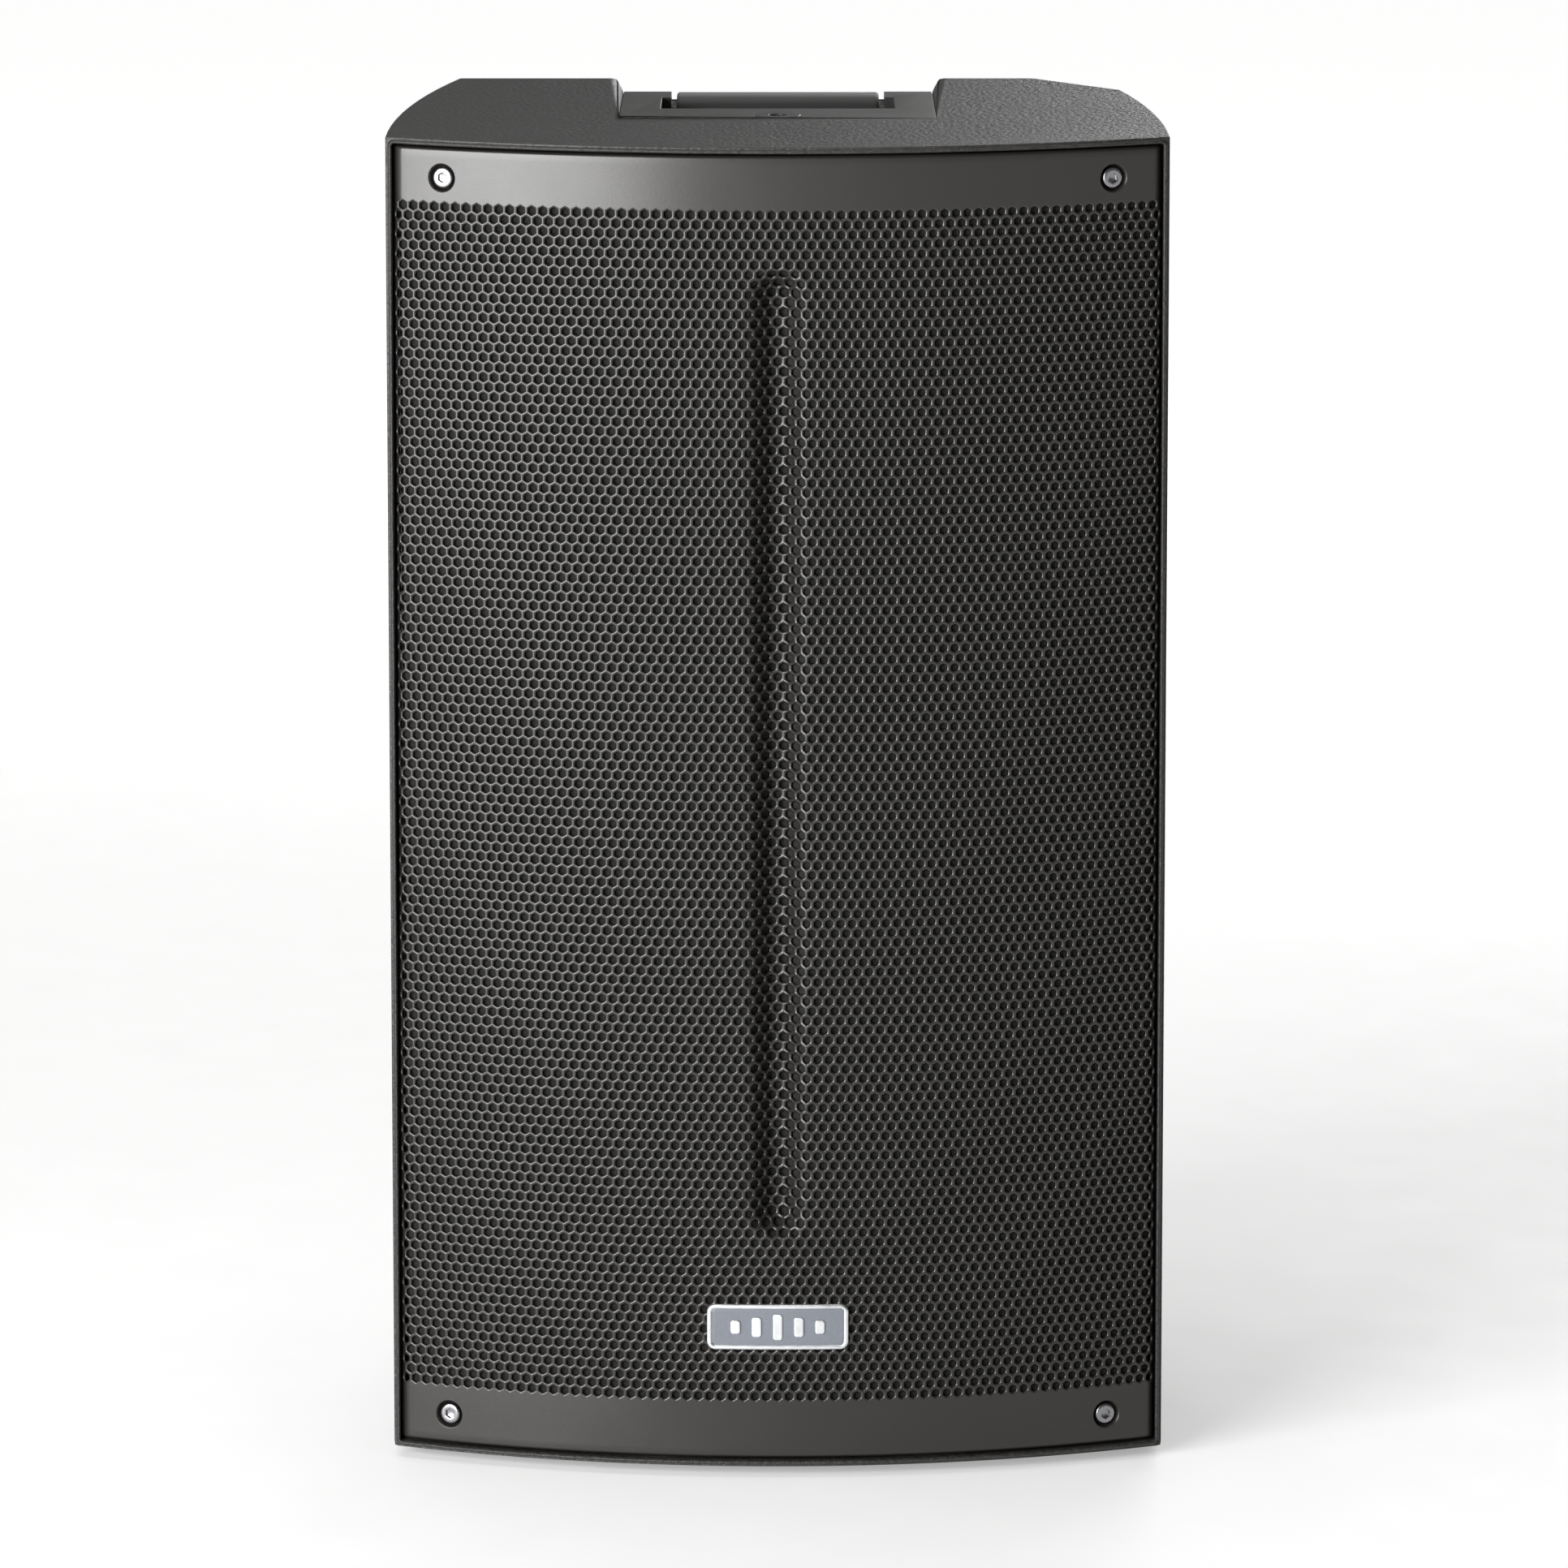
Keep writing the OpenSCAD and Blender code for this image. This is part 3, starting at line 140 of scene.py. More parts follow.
class CabinetShellSettings(PropertyGroup):
    """Sizes and colours of the moulded shell."""
    round_over: length_property("Round-over", "Width of the rounding of the outer edges", 3 * MM)
    bead_height: length_property("Bead height", "Height of the bead that frames the grille", 1.6 * MM)
    bead_half: length_property("Bead half width", "Half the width of that bead", 0.95 * MM)
    bead_in: length_property("Bead inset", "Middle of the bead from the shell's outside", 2.0 * MM)
    plastic: colour_property("Shell", "Colour of the textured shell", "#242322")
    tray: colour_property("Tray", "Colour of the smooth handle tray", "#242423")


class CabinetTrimSettings(PropertyGroup):
    """Sizes and colours of the screws, the badge and the grip."""
    head: length_property("Screw head", "Radius of the button head", 5.1 * MM)
    head_height: length_property("Head height", "Height of the button head", 2.8 * MM)
    socket: length_property("Socket", "Radius of the hexagonal socket at its corners", 2.4 * MM)
    screw_in: length_property("Screw inset", "Screws from the shell's side edges", 26.5 * MM)
    screw_drop: length_property("Screw drop", "Screws from the shell's top and bottom", 18 * MM)
    cup: length_property("Cup", "Radius of the cup round each screw", 6.8 * MM)
    cup_depth: length_property("Cup depth", "Depth of that cup", 3.5 * MM)
    badge_rise: length_property("Badge", "Middle of the badge above the shell's bottom", 68 * MM)
    badge_w: length_property("Badge width", "Width of the badge", 67 * MM)
    badge_h: length_property("Badge height", "Height of the badge", 22 * MM)
    bar_pitch: length_property("Bar pitch", "Distance between the badge's bars", 10 * MM)
    bar_w: length_property("Bar width", "Width of each bar", 4.4 * MM)
    grip_round: length_property("Grip ends", "Rounding of the grip's ends", 1.6 * MM)
    grip_power: FloatProperty(name="Grip power", description="Flatness of the grip's section, 1 is an oval",
                              default=0.62, min=0.2, max=1.0)
    field: colour_property("Badge field", "Colour of the badge's enamel", "#646870")
    metal: colour_property("Badge metal", "Colour of the badge's border", "#e4e6e8")
    rubber: colour_property("Grip", "Colour of the rubber grip", "#131211")


class CabinetStageSettings(PropertyGroup):
    """Camera and light."""
    distance: length_property("Distance", "Camera from the point it looks at", 4.92)
    pitch: FloatProperty(name="Pitch", description="Camera above the horizon", subtype="ANGLE",
                         default=math.radians(10.92))
    aside: length_property("Aside", "The point it looks at to the right of the middle", 3 * MM)
    drop: length_property("Drop", "The point it looks at below the shell's top", 307 * MM)
    lens: FloatProperty(name="Lens", description="Focal length in millimetres", default=239.5)
    key: FloatProperty(name="Key", description="Power of the low softbox on the left", subtype="POWER",
                       default=185.0)
    rear: FloatProperty(name="Rear", description="Power of the softbox behind on the right",
                        subtype="POWER", default=30.0)
    top: FloatProperty(name="Top", description="Power of the overhead softbox", subtype="POWER",
                       default=45.0)
    air: FloatProperty(name="Air", description="Strength of the even light from all round", default=0.17)
    glow: FloatProperty(name="Glow", description="Light given off by the floor under the cabinet",
                        default=0.33)
    far_glow: FloatProperty(name="Far glow", description="Light given off by the floor beyond 4 m",
                            default=0.85)
    floor: colour_property("Floor", "Colour of the studio floor", "#d6d6d6")


# ---- meshes ----

def piece(name, points, faces, slot, body=BODY, smooth=True, replaced=()):
    """A mesh object from an array of points and lists of faces, riding on a body."""
    mesh = bpy.data.meshes.new(name)
    fill(mesh, points, faces)
    mesh.shade_smooth() if smooth else mesh.shade_flat()
    return show(mesh, name, slot, body, replaced)


def fill(mesh, points, faces):
    """Puts points and face index arrays (each n x 3 or n x 4) into a mesh with foreach_set."""
    groups = [np.asarray(f, np.int32) for f in faces if len(f)]
    sizes = np.concatenate([np.full(len(g), g.shape[1], np.int32) for g in groups])
    corners = np.concatenate([g.ravel() for g in groups])
    mesh.vertices.add(len(points))
    mesh.vertices.foreach_set("co", np.asarray(points, np.float32).ravel())
    mesh.loops.add(len(corners))
    mesh.loops.foreach_set("vertex_index", corners)
    mesh.polygons.add(len(sizes))
    mesh.polygons.foreach_set("loop_start", np.concatenate([[0], np.cumsum(sizes)[:-1]]).astype(np.int32))
    mesh.update(calc_edges=True)
    mesh.validate()


def show(mesh, name, slot, body=BODY, replaced=()):
    made = bpy.data.objects.new(name, mesh)
    bpy.context.scene.collection.objects.link(made)
    mesh.materials.clear()
    mesh.materials.append(finish(slot))
    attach(made, body)
    if replaced:
        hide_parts(*replaced)
    return made


def grid_faces(rows, columns, wrap_rows=False, wrap_columns=False):
    """Quads of a rows x columns grid of points, as an array; a wrapped direction joins its ends."""
    r = np.arange(rows if wrap_rows else rows - 1)
    c = np.arange(columns if wrap_columns else columns - 1)
    r, c = np.meshgrid(r, c, indexing="ij")
    r2, c2 = (r + 1) % rows, (c + 1) % columns
    corners = [r * columns + c, r * columns + c2, r2 * columns + c2, r2 * columns + c]
    return np.stack(corners, -1).reshape(-1, 4)


def fan(ring, middle):
    """Triangles from a closed ring of indices to one middle index."""
    ring = np.asarray(ring)
    return np.stack([ring, np.roll(ring, -1), np.full(len(ring), middle)], -1)


def finished_copy(node, width=0.4 * MM, angle=32.0, slot=None, name=None, reshape=None, weigh=None):
    """A copy of a CAD node's mesh, merged, with flat triangles joined and its edges rounded.

    width is the rounding's width. reshape moves the points of the merged copy, and weigh gives
    each edge its share of the width; without it every edge sharper than angle gets the whole."""
    mesh = frame["nodes"][node].data.copy()
    shape = bmesh.new()
    shape.from_mesh(mesh)
    bmesh.ops.remove_doubles(shape, verts=shape.verts, dist=0.01 * MM)
    bmesh.ops.dissolve_limit(shape, angle_limit=math.radians(0.1), verts=shape.verts,
                             edges=shape.edges)
    if reshape:
        reshape(shape)
    if weigh:
        share = shape.edges.layers.float.new("bevel_weight_edge")
        for edge in shape.edges:
            edge[share] = weigh(edge)
    shape.to_mesh(mesh)
    shape.free()
    made = show(mesh, name or f"{node}_finish", slot or SLOT_OF[node], BODY_OF[node], (node,))
    mesh.shade_smooth()
    mesh.set_sharp_from_angle(angle=math.radians(angle))
    bevel = made.modifiers.new("rounded edges", "BEVEL")
    bevel.width = width
    bevel.segments = 3 if weigh else 2
    bevel.limit_method = "WEIGHT" if weigh else "ANGLE"
    bevel.angle_limit = math.radians(angle)
    bevel.use_clamp_overlap = not weigh
    bevel.harden_normals = True
    return made


# ---- finishes ----

def add(tree, kind, links=None, values=None, **fields):
    """One node: fields are its own settings, values its unlinked sockets, links what feeds it."""
    made = tree.nodes.new(kind)
    for key, value in fields.items():
        setattr(made, key, value)
    for key, value in (values or {}).items():
        made.inputs[key].default_value = value
    for key, source in (links or {}).items():
        tree.links.new(source, made.inputs[key])
    return made


def blank(name, **constants):
    """A material with one Principled shader whose constants are set on its own sockets."""
    made = bpy.data.materials.new(name)
    made.use_nodes = True
    tree = made.node_tree
    tree.nodes.clear()
    values = {key.replace("_", " "): value for key, value in constants.items()}
    shader = add(tree, "ShaderNodeBsdfPrincipled", values=values)
    add(tree, "ShaderNodeOutputMaterial", links={"Surface": shader.outputs[0]})
    place = add(tree, "ShaderNodeTexCoord").outputs["Object"]
    return made, tree, shader, place


def shade(colour, factor):
    """A colour made lighter or darker by a factor, its alpha kept."""
    return tuple(min(1.0, c * factor) for c in colour[:3]) + (1.0,)


def blend_colours(tree, factor, stops):
    """The Color output of a ramp over a factor, from (position, colour) stops."""
    ramp = add(tree, "ShaderNodeValToRGB", links={"Fac": factor})
    for i, (where, colour) in enumerate(stops):
        stop = ramp.color_ramp.elements[i] if i < 2 else ramp.color_ramp.elements.new(where)
        stop.position, stop.color = where, colour
    return ramp.outputs["Color"]


def moulded(name, colour, roughness, grain, relief, cloud=45 * MM, mottle_and_grain_shade=0.1, grain_shade=0.45, **constants):
    """Moulded or sprayed surface: a fine grain in the bump, slow clouds in colour and roughness.

    grain is the grain's width, relief its height, cloud the width of the slow variation, and grain_shade the
    grain's share in the colour. That share follows the same noise as the bump, so the grain's tops are
    painted lighter and its hollows darker: painted light and shade on the grain, over real slow clouds of
    tone."""
    made, tree, shader, place = blank(name, **constants)
    fine = add(tree, "ShaderNodeTexNoise", links={"Vector": place},
               values={"Scale": 1 / grain, "Detail": 2.0, "Roughness": 0.55}).outputs["Fac"]
    slow = add(tree, "ShaderNodeTexNoise", links={"Vector": place},
               values={"Scale": 1 / cloud, "Detail": 3.0}).outputs["Fac"]
    both = add(tree, "ShaderNodeMix", links={"A": slow, "B": fine}, values={"Factor": grain_shade},
               data_type="FLOAT").outputs["Result"]
    # Colour from slow clouds, which are real tone, and from the bump's own grain, which is painted light on
    # its tops and painted shade in its hollows
    tint = blend_colours(tree, both, [(0.3, shade(colour, 1 - mottle_and_grain_shade)), (0.7, shade(colour, 1 + mottle_and_grain_shade))])
    rough = add(tree, "ShaderNodeMapRange", links={"Value": both},
                values={"From Min": 0.3, "From Max": 0.7, "To Min": roughness * 0.88,
                        "To Max": min(1.0, roughness * 1.12)}).outputs["Result"]
    bump = add(tree, "ShaderNodeBump", links={"Height": fine},
               values={"Strength": 1.0, "Distance": relief}).outputs["Normal"]
    tree.links.new(tint, shader.inputs["Base Color"])
    tree.links.new(rough, shader.inputs["Roughness"])
    tree.links.new(bump, shader.inputs["Normal"])
    return made


def drawn_metal(name, colour, roughness, scratch=(0.15 * MM, 8 * MM, 8 * MM), relief=0.01 * MM,
                **constants):
    """Metal with fine lines: a noise that is short across the lines and long along them."""
    made, tree, shader, place = blank(name, Metallic=1.0, **constants)
    turned = add(tree, "ShaderNodeMapping", links={"Vector": place},
                 values={"Scale": tuple(1 / s for s in scratch)}).outputs["Vector"]
    lines = add(tree, "ShaderNodeTexNoise", links={"Vector": turned},
                values={"Scale": 1.0, "Detail": 3.0}).outputs["Fac"]
    slow = add(tree, "ShaderNodeTexNoise", links={"Vector": place},
               values={"Scale": 1 / (9 * MM), "Detail": 2.0}).outputs["Fac"]
    tint = blend_colours(tree, slow, [(0.3, shade(colour, 0.88)), (0.7, shade(colour, 1.08))])
    rough = add(tree, "ShaderNodeMapRange", links={"Value": lines},
                values={"From Min": 0.3, "From Max": 0.7, "To Min": roughness * 0.8,
                        "To Max": roughness * 1.25}).outputs["Result"]
    bump = add(tree, "ShaderNodeBump", links={"Height": lines},
               values={"Strength": 1.0, "Distance": relief}).outputs["Normal"]
    tree.links.new(tint, shader.inputs["Base Color"])
    tree.links.new(rough, shader.inputs["Roughness"])
    tree.links.new(bump, shader.inputs["Normal"])
    return made


def wound(name, colour, period, axis, roughness, relief, **constants):
    """Wire or thread lying side by side: bands of one period along an axis, round in the bump, and painted
    darker where the bump is low: painted shade in the grooves between turns.
    """
    made, tree, shader, place = blank(name, **constants)
    bands = add(tree, "ShaderNodeTexWave", links={"Vector": place}, bands_direction=axis,
                values={"Scale": 2 * math.pi / (20 * period), "Distortion": 0.6, "Detail": 1.0}
                ).outputs["Fac"]
    # Painted shade: each band darkens towards the groove between two turns
    tint = blend_colours(tree, bands, [(0.0, shade(colour, 0.45)), (0.6, colour)])
    bump = add(tree, "ShaderNodeBump", links={"Height": bands},
               values={"Strength": 1.0, "Distance": relief}).outputs["Normal"]
    tree.links.new(tint, shader.inputs["Base Color"])
    tree.links.new(bump, shader.inputs["Normal"])
    shader.inputs["Roughness"].default_value = roughness
    return made


def cellular(name, colour, cell, relief, roughness=0.95, **constants):
    """Open foam or felted fibre: rounded cells, painted lighter on their raised middles and darker in the
    hollows between them: painted light and shade.
    """
    made, tree, shader, place = blank(name, Roughness=roughness, **constants)
    cells = add(tree, "ShaderNodeTexVoronoi", links={"Vector": place}, feature="SMOOTH_F1",
                values={"Scale": 1 / cell, "Smoothness": 0.4, "Randomness": 1.0}).outputs["Distance"]
    # Painted light on the cells' raised middles, painted shade in the hollows between them
    tint = blend_colours(tree, cells, [(0.1, shade(colour, 1.7)), (0.75, shade(colour, 0.45))])
    bump = add(tree, "ShaderNodeBump", links={"Height": cells}, invert=True,
               values={"Strength": 1.0, "Distance": relief}).outputs["Normal"]
    tree.links.new(tint, shader.inputs["Base Color"])
    tree.links.new(bump, shader.inputs["Normal"])
    return made


def woven(name, colour, thread, relief, **constants):
    """Plain weave: two sets of thread bands, crossed in the bump and the colour; the colour is darker where
    either thread is low, painted shade in the gaps between threads.
    """
    made, tree, shader, place = blank(name, **constants)
    scale = 2 * math.pi / (20 * thread)
    warp = add(tree, "ShaderNodeTexWave", links={"Vector": place}, bands_direction="X",
               values={"Scale": scale}).outputs["Fac"]
    weft = add(tree, "ShaderNodeTexWave", links={"Vector": place}, bands_direction="Z",
               values={"Scale": scale}).outputs["Fac"]
    cross = add(tree, "ShaderNodeMath", links={0: warp, 1: weft}, operation="MULTIPLY").outputs[0]
    # Painted shade: darker where the crossed threads are low
    tint = blend_colours(tree, cross, [(0.0, shade(colour, 0.5)), (0.6, shade(colour, 1.1))])
    bump = add(tree, "ShaderNodeBump", links={"Height": cross},
               values={"Strength": 1.0, "Distance": relief}).outputs["Normal"]
    tree.links.new(tint, shader.inputs["Base Color"])
    tree.links.new(bump, shader.inputs["Normal"])
    return made


def board_lacquer(name):
    """Green solder lacquer over copper tracks: square-edged cells give tracks and round pads."""
    made, tree, shader, place = blank(name, Roughness=0.3, Coat_Weight=0.4)
    cells = add(tree, "ShaderNodeTexVoronoi", links={"Vector": place}, distance="CHEBYCHEV",
                values={"Scale": 1 / (7 * MM), "Randomness": 0.5}).outputs["Distance"]
    tint = blend_colours(tree, cells, [(0.08, linear("#c8c5b6")), (0.12, linear("#1f6a3c")),
                                       (0.42, linear("#1b5a33")), (0.5, linear("#2b8a50"))])
    bump = add(tree, "ShaderNodeBump", links={"Height": cells},
               values={"Strength": 1.0, "Distance": 0.05 * MM}).outputs["Normal"]
    tree.links.new(tint, shader.inputs["Base Color"])
    tree.links.new(bump, shader.inputs["Normal"])
    return made


def lens_plastic(name):
    """Frosted light lens: a weak even glow under a clear, slightly pitted skin."""
    made = moulded(name, linear("#59c27a"), 0.35, 0.8 * MM, 0.02 * MM, Emission_Strength=0.6,
                   Transmission_Weight=0.2)
    made.node_tree.nodes["Principled BSDF"].inputs["Emission Color"].default_value = linear("#2fbf5f")
    return made


def make_finish(slot):
    """The material of one slot of the record."""
    settings = bpy.context.scene
    shell, trim = settings.cabinet_shell, settings.cabinet_trim
    recipes = {
        # Textured polypropylene, moulded in a spark-eroded tool: an even pebble that breaks the light. Its
        # strong speckle is painted light on the pebble's tops and painted shade in its hollows
        "shell_plastic": lambda: moulded("textured_polypropylene", tuple(shell.plastic), 0.5, 2.4 * MM,
                                         0.7 * MM, mottle_and_grain_shade=0.5, grain_shade=0.8, Specular_IOR_Level=0.4),
        # The same plastic from a polished tool: soft wide highlights and almost no grain
        "satin_plastic": lambda: moulded("satin_polypropylene", tuple(shell.tray), 0.4, 1.2 * MM,
                                         0.02 * MM, mottle_and_grain_shade=0.08),
        # Glass-filled nylon: darker, with a slight fleck from the fibres
        "black_plastic": lambda: moulded("black_nylon", linear("#1c1c1c"), 0.38, 0.9 * MM, 0.03 * MM,
                                         mottle_and_grain_shade=0.14),
        # Baked satin enamel on steel: fine spray grain, clear broad reflections
        "grille_paint": lambda: moulded("satin_enamel_on_steel",
                                        tuple(settings.cabinet_grille.paint), 0.32, 0.8 * MM,
                                        0.025 * MM, mottle_and_grain_shade=0.07),
        # Open-cell foam: matt and pitted, it swallows the light behind the holes
        "foam": lambda: cellular("open_cell_foam", linear("#0d0d0c"), 1.3 * MM, 0.5 * MM),
        # Black zinc on steel: dark until it catches a light, with fine turned lines
        "zinc_steel": lambda: drawn_metal("black_zinc_on_steel", linear("#8f8f92"), 0.26),
        # Black powder coat on steel: a small even orange peel
        "black_steel": lambda: moulded("black_powder_coat", linear("#26272a"), 0.42, 0.9 * MM,
                                       0.04 * MM, mottle_and_grain_shade=0.1),
        # Brushed anodised aluminium: lines along the badge, a soft silver sheen
        "badge_metal": lambda: drawn_metal("anodised_aluminium", tuple(trim.metal), 0.36,
                                           (7 * MM, 7 * MM, 0.25 * MM)),
        # Moulded rubber: matt, with a dusty edge to its highlights
        "rubber": lambda: moulded("moulded_rubber", tuple(trim.rubber), 0.62, 0.8 * MM, 0.04 * MM,
                                  mottle_and_grain_shade=0.16, Sheen_Weight=0.15, Sheen_Roughness=0.5),
        # Pressed paper pulp, coated black: short fibres stand out under a dull coat
        "cone_paper": lambda: cellular("coated_paper_pulp", linear("#1a1a1b"), 2.2 * MM, 0.12 * MM, 0.8),
        # Lacquered copper wire, one layer: turns 0.5 mm apart along the coil
        "copper_wire": lambda: wound("lacquered_copper_wire", linear("#b8703a"), 0.5 * MM, "Y", 0.3,
                                     0.1 * MM, Metallic=1.0),
        # Phenolic-soaked cotton: an amber open weave
        "spider_cloth": lambda: woven("phenolic_cotton", linear("#b98f4e"), 0.8 * MM, 0.2 * MM,
                                      Roughness=0.8),
        # Sintered ferrite: dull grey-black with a fine sandy break
        "ferrite": lambda: moulded("sintered_ferrite", linear("#3c3d40"), 0.6, 1.1 * MM, 0.06 * MM,
                                   mottle_and_grain_shade=0.22),
        # Passivated iron: grey metal with soft tumbling marks
        "plated_iron": lambda: drawn_metal("passivated_iron", linear("#a8a9ac"), 0.34,
                                           (2 * MM, 2 * MM, 2 * MM), 0.02 * MM),
        # Polyester wadding: loose white fibre in soft tufts
        "wadding": lambda: cellular("polyester_wadding", linear("#a9a69e"), 5 * MM, 2.2 * MM,
                                    Sheen_Weight=0.4, Sheen_Roughness=0.6),
        # Black anodised aluminium: fine vertical brushing under a dark oxide
        "panel_aluminium": lambda: drawn_metal("black_anodised_aluminium", linear("#3a3b3f"), 0.36,
                                               (0.3 * MM, 9 * MM, 9 * MM)),
        "circuit_board": lambda: board_lacquer("solder_lacquer"),
        # Lacquered winding wire: amber turns 1.2 mm apart
        "coil_lacquer": lambda: wound("amber_winding_wire", linear("#b98a2c"), 1.2 * MM, "Z", 0.28,
                                      0.3 * MM, Coat_Weight=0.5),
        # Shrunk vinyl sleeve: blue and glossy, with slight ripples
        "capacitor_sleeve": lambda: moulded("shrunk_vinyl", linear("#2c4f92"), 0.25, 2.5 * MM,
                                            0.06 * MM, Coat_Weight=0.3),
        # Silicone wire insulation: soft red with a fine skin
        "wire_sleeve": lambda: moulded("silicone_insulation", linear("#9c2626"), 0.45, 0.9 * MM,
                                       0.03 * MM),
        "red_plastic": lambda: moulded("red_polycarbonate", linear("#a83228"), 0.3, 1.0 * MM, 0.02 * MM,
                                       Coat_Weight=0.2),
        "grey_plastic": lambda: moulded("grey_acetal", linear("#8d9196"), 0.4, 0.9 * MM, 0.02 * MM),
        # Rolled titanium foil: pale, slightly warm metal with faint rolling lines
        "titanium": lambda: drawn_metal("rolled_titanium", linear("#b9b8b4"), 0.3,
                                        (0.4 * MM, 6 * MM, 6 * MM)),
        "led_lens": lambda: lens_plastic("frosted_lens"),
        # Stove enamel in the badge's field: smooth blue-grey under a thick clear skin
        "badge_field": lambda: moulded("stove_enamel", tuple(trim.field), 0.3, 1.5 * MM, 0.01 * MM,
                                       Coat_Weight=0.6, Coat_Roughness=0.1),
    }
    return recipes[slot]()


MADE = {}


def finish(slot):
    """The slot's material, made once."""
    if slot not in MADE:
        MADE[slot] = make_finish(slot)
    return MADE[slot]


# ---- grille ----

def bow_section(s, sizes):
    """Points and outward normals of the grille in plan, at lengths s along it from its middle.

    A circular arc as wide as the face, then a quarter-turn of the small roll radius, then a
    straight rim to the rear; the left half mirrors the right."""
    radius = FRONT_CY - GRILLE_LOW.y
    half, roll = GRILLE_HIGH.x, sizes.roll
    end = math.asin((half - roll) / (radius - roll))
    face, turn = radius * end, roll * (math.pi / 2 - end)
    side, s = np.sign(s), np.abs(s)
    on_arc, on_roll = s <= face, s <= face + turn
    angle = np.where(on_arc, s / radius, np.minimum(end + (s - face) / roll, math.pi / 2))
    x_roll, y_roll = (radius - roll) * math.sin(end), FRONT_CY - (radius - roll) * math.cos(end)
    rim = np.where(on_roll, 0.0, s - face - turn)
    x = np.where(on_arc, radius * np.sin(angle), x_roll + roll * np.sin(angle))
    y = np.where(on_arc, FRONT_CY - radius * np.cos(angle), y_roll - roll * np.cos(angle) + rim)
    return side * x, y, side * np.sin(angle), -np.cos(angle), face, turn


def sunk(s, z, sizes, trim):
    """Depth of the sheet below its plain face at (s, z).

    The groove falls in a straight slope from its outline, the distance to an upright line with
    round ends, to its floor; each screw cup falls on a smooth step between two radii."""
    low = SHELL_LOW.z + sizes.groove_low + sizes.groove_half
    high = SHELL_HIGH.z - sizes.groove_high - sizes.groove_half
    away = np.hypot(s, z - np.clip(z, low, high))
    slope = np.clip((sizes.groove_half - away) / (sizes.groove_half - sizes.groove_floor), 0, 1)
    depth = sizes.groove_depth * slope
    for s_cup, z_cup in cup_places(trim):
        r = np.hypot(s - s_cup, z - z_cup)
        t = np.clip((trim.cup - r) / (1.5 * MM), 0, 1)
        depth = depth + trim.cup_depth * t * t * (3 - 2 * t)
    return depth


def cup_places(trim):
    """(s, z) of the four screw cups, s being the arc length to the screw's place."""
    radius = FRONT_CY - GRILLE_LOW.y
    s = radius * math.asin((HALF_W - trim.screw_in) / radius)
    return [(side * s, z) for side in (-1, 1)
            for z in (SHELL_LOW.z + trim.screw_drop, SHELL_HIGH.z - trim.screw_drop)]


def on_sheet(s, z, sizes, trim):
    """Points of the sheet's face at (s, z), where z past a fold runs round it and to the rear.

    The plan section, drawn in along its normal by the depth of the groove, the cups and the folds."""
    x, y, nx, ny, face, turn = bow_section(s, sizes)
    fold = sizes.fold
    depth = sunk(s, z, sizes, trim)
    lift = z
    for edge, way in ((GRILLE_HIGH.z - fold, 1), (GRILLE_LOW.z + fold, -1)):
        past = np.maximum((z - edge) * way, 0)
        angle = np.minimum(past / fold, math.pi / 2)
        straight = np.maximum(past - fold * math.pi / 2, 0)
        room = np.clip((face - np.abs(s)) / (4 * MM), 0, 1)
        depth = depth + fold * (1 - np.cos(angle)) + straight * room
        lift = np.where(past > 0, edge + way * fold * np.sin(angle), lift)
    return np.stack([x - nx * depth, y - ny * depth, lift], -1)


def sheet_shape(s, z, sizes, trim, back):
    """Face or back points at (s, z): the back lies one sheet thickness behind the face, along the
    cross product of the face's two slopes."""
    step = 0.03 * MM
    middle = on_sheet(s, z, sizes, trim)
    if not back:
        return middle
    across = on_sheet(s + step, z, sizes, trim) - on_sheet(s - step, z, sizes, trim)
    upward = on_sheet(s, z + step, sizes, trim) - on_sheet(s, z - step, sizes, trim)
    normal = np.cross(across, upward)
    normal /= np.maximum(np.linalg.norm(normal, axis=1, keepdims=True), 1e-12)
    return middle - normal * sizes.sheet


def closed_sheet(name, s, z, faces, sizes, trim, replaced=(), smooth_from=None):
    """A closed sheet from a flat pattern: its face, its back, and a wall on every open edge.

    Open edges are the directed edges whose opposite is in no face. Those between points from
    smooth_from on are the holes', whose walls shade smoothly, so the webs look like rounded
    wires; the other cut edges are sharp."""
    s, z = np.asarray(s, float), np.asarray(z, float)
    count = len(s)
    front = sheet_shape(s, z, sizes, trim, False)
    rear = sheet_shape(s, z, sizes, trim, True)
    faces = [np.asarray(f) for f in faces if len(f)]
    edges = np.concatenate([np.stack([f, np.roll(f, -1, axis=1)], -1).reshape(-1, 2) for f in faces])
    there, back = edges[:, 0] * count + edges[:, 1], edges[:, 1] * count + edges[:, 0]
    a, b = edges[~np.isin(there, back)].T
    walls = np.stack([b, a, a + count, b + count], -1)
    made = piece(name, np.concatenate([front, rear]),
                 faces + [f[:, ::-1] + count for f in faces] + [walls], "grille_paint",
                 replaced=replaced)
    cut = np.stack([a, b], -1)
    if smooth_from is not None:
        cut = cut[(cut < smooth_from[0]).any(1) | (cut >= smooth_from[1]).any(1)]
    sharpen(made.data, np.concatenate([cut, cut + count]))
    return made


def sharpen(mesh, pairs):
    """Marks the edges between pairs of points as sharp."""
    ends = np.empty(len(mesh.edges) * 2, np.int32)
    mesh.edges.foreach_get("vertices", ends)
    ends = np.sort(ends.reshape(-1, 2), axis=1).astype(np.int64)
    pairs = np.sort(pairs, axis=1).astype(np.int64)
    size = len(mesh.vertices)
    sharp = np.isin(ends[:, 0] * size + ends[:, 1], pairs[:, 0] * size + pairs[:, 1])
    mesh.attributes.new("sharp_edge", "BOOLEAN", "EDGE").data.foreach_set("value", sharp)


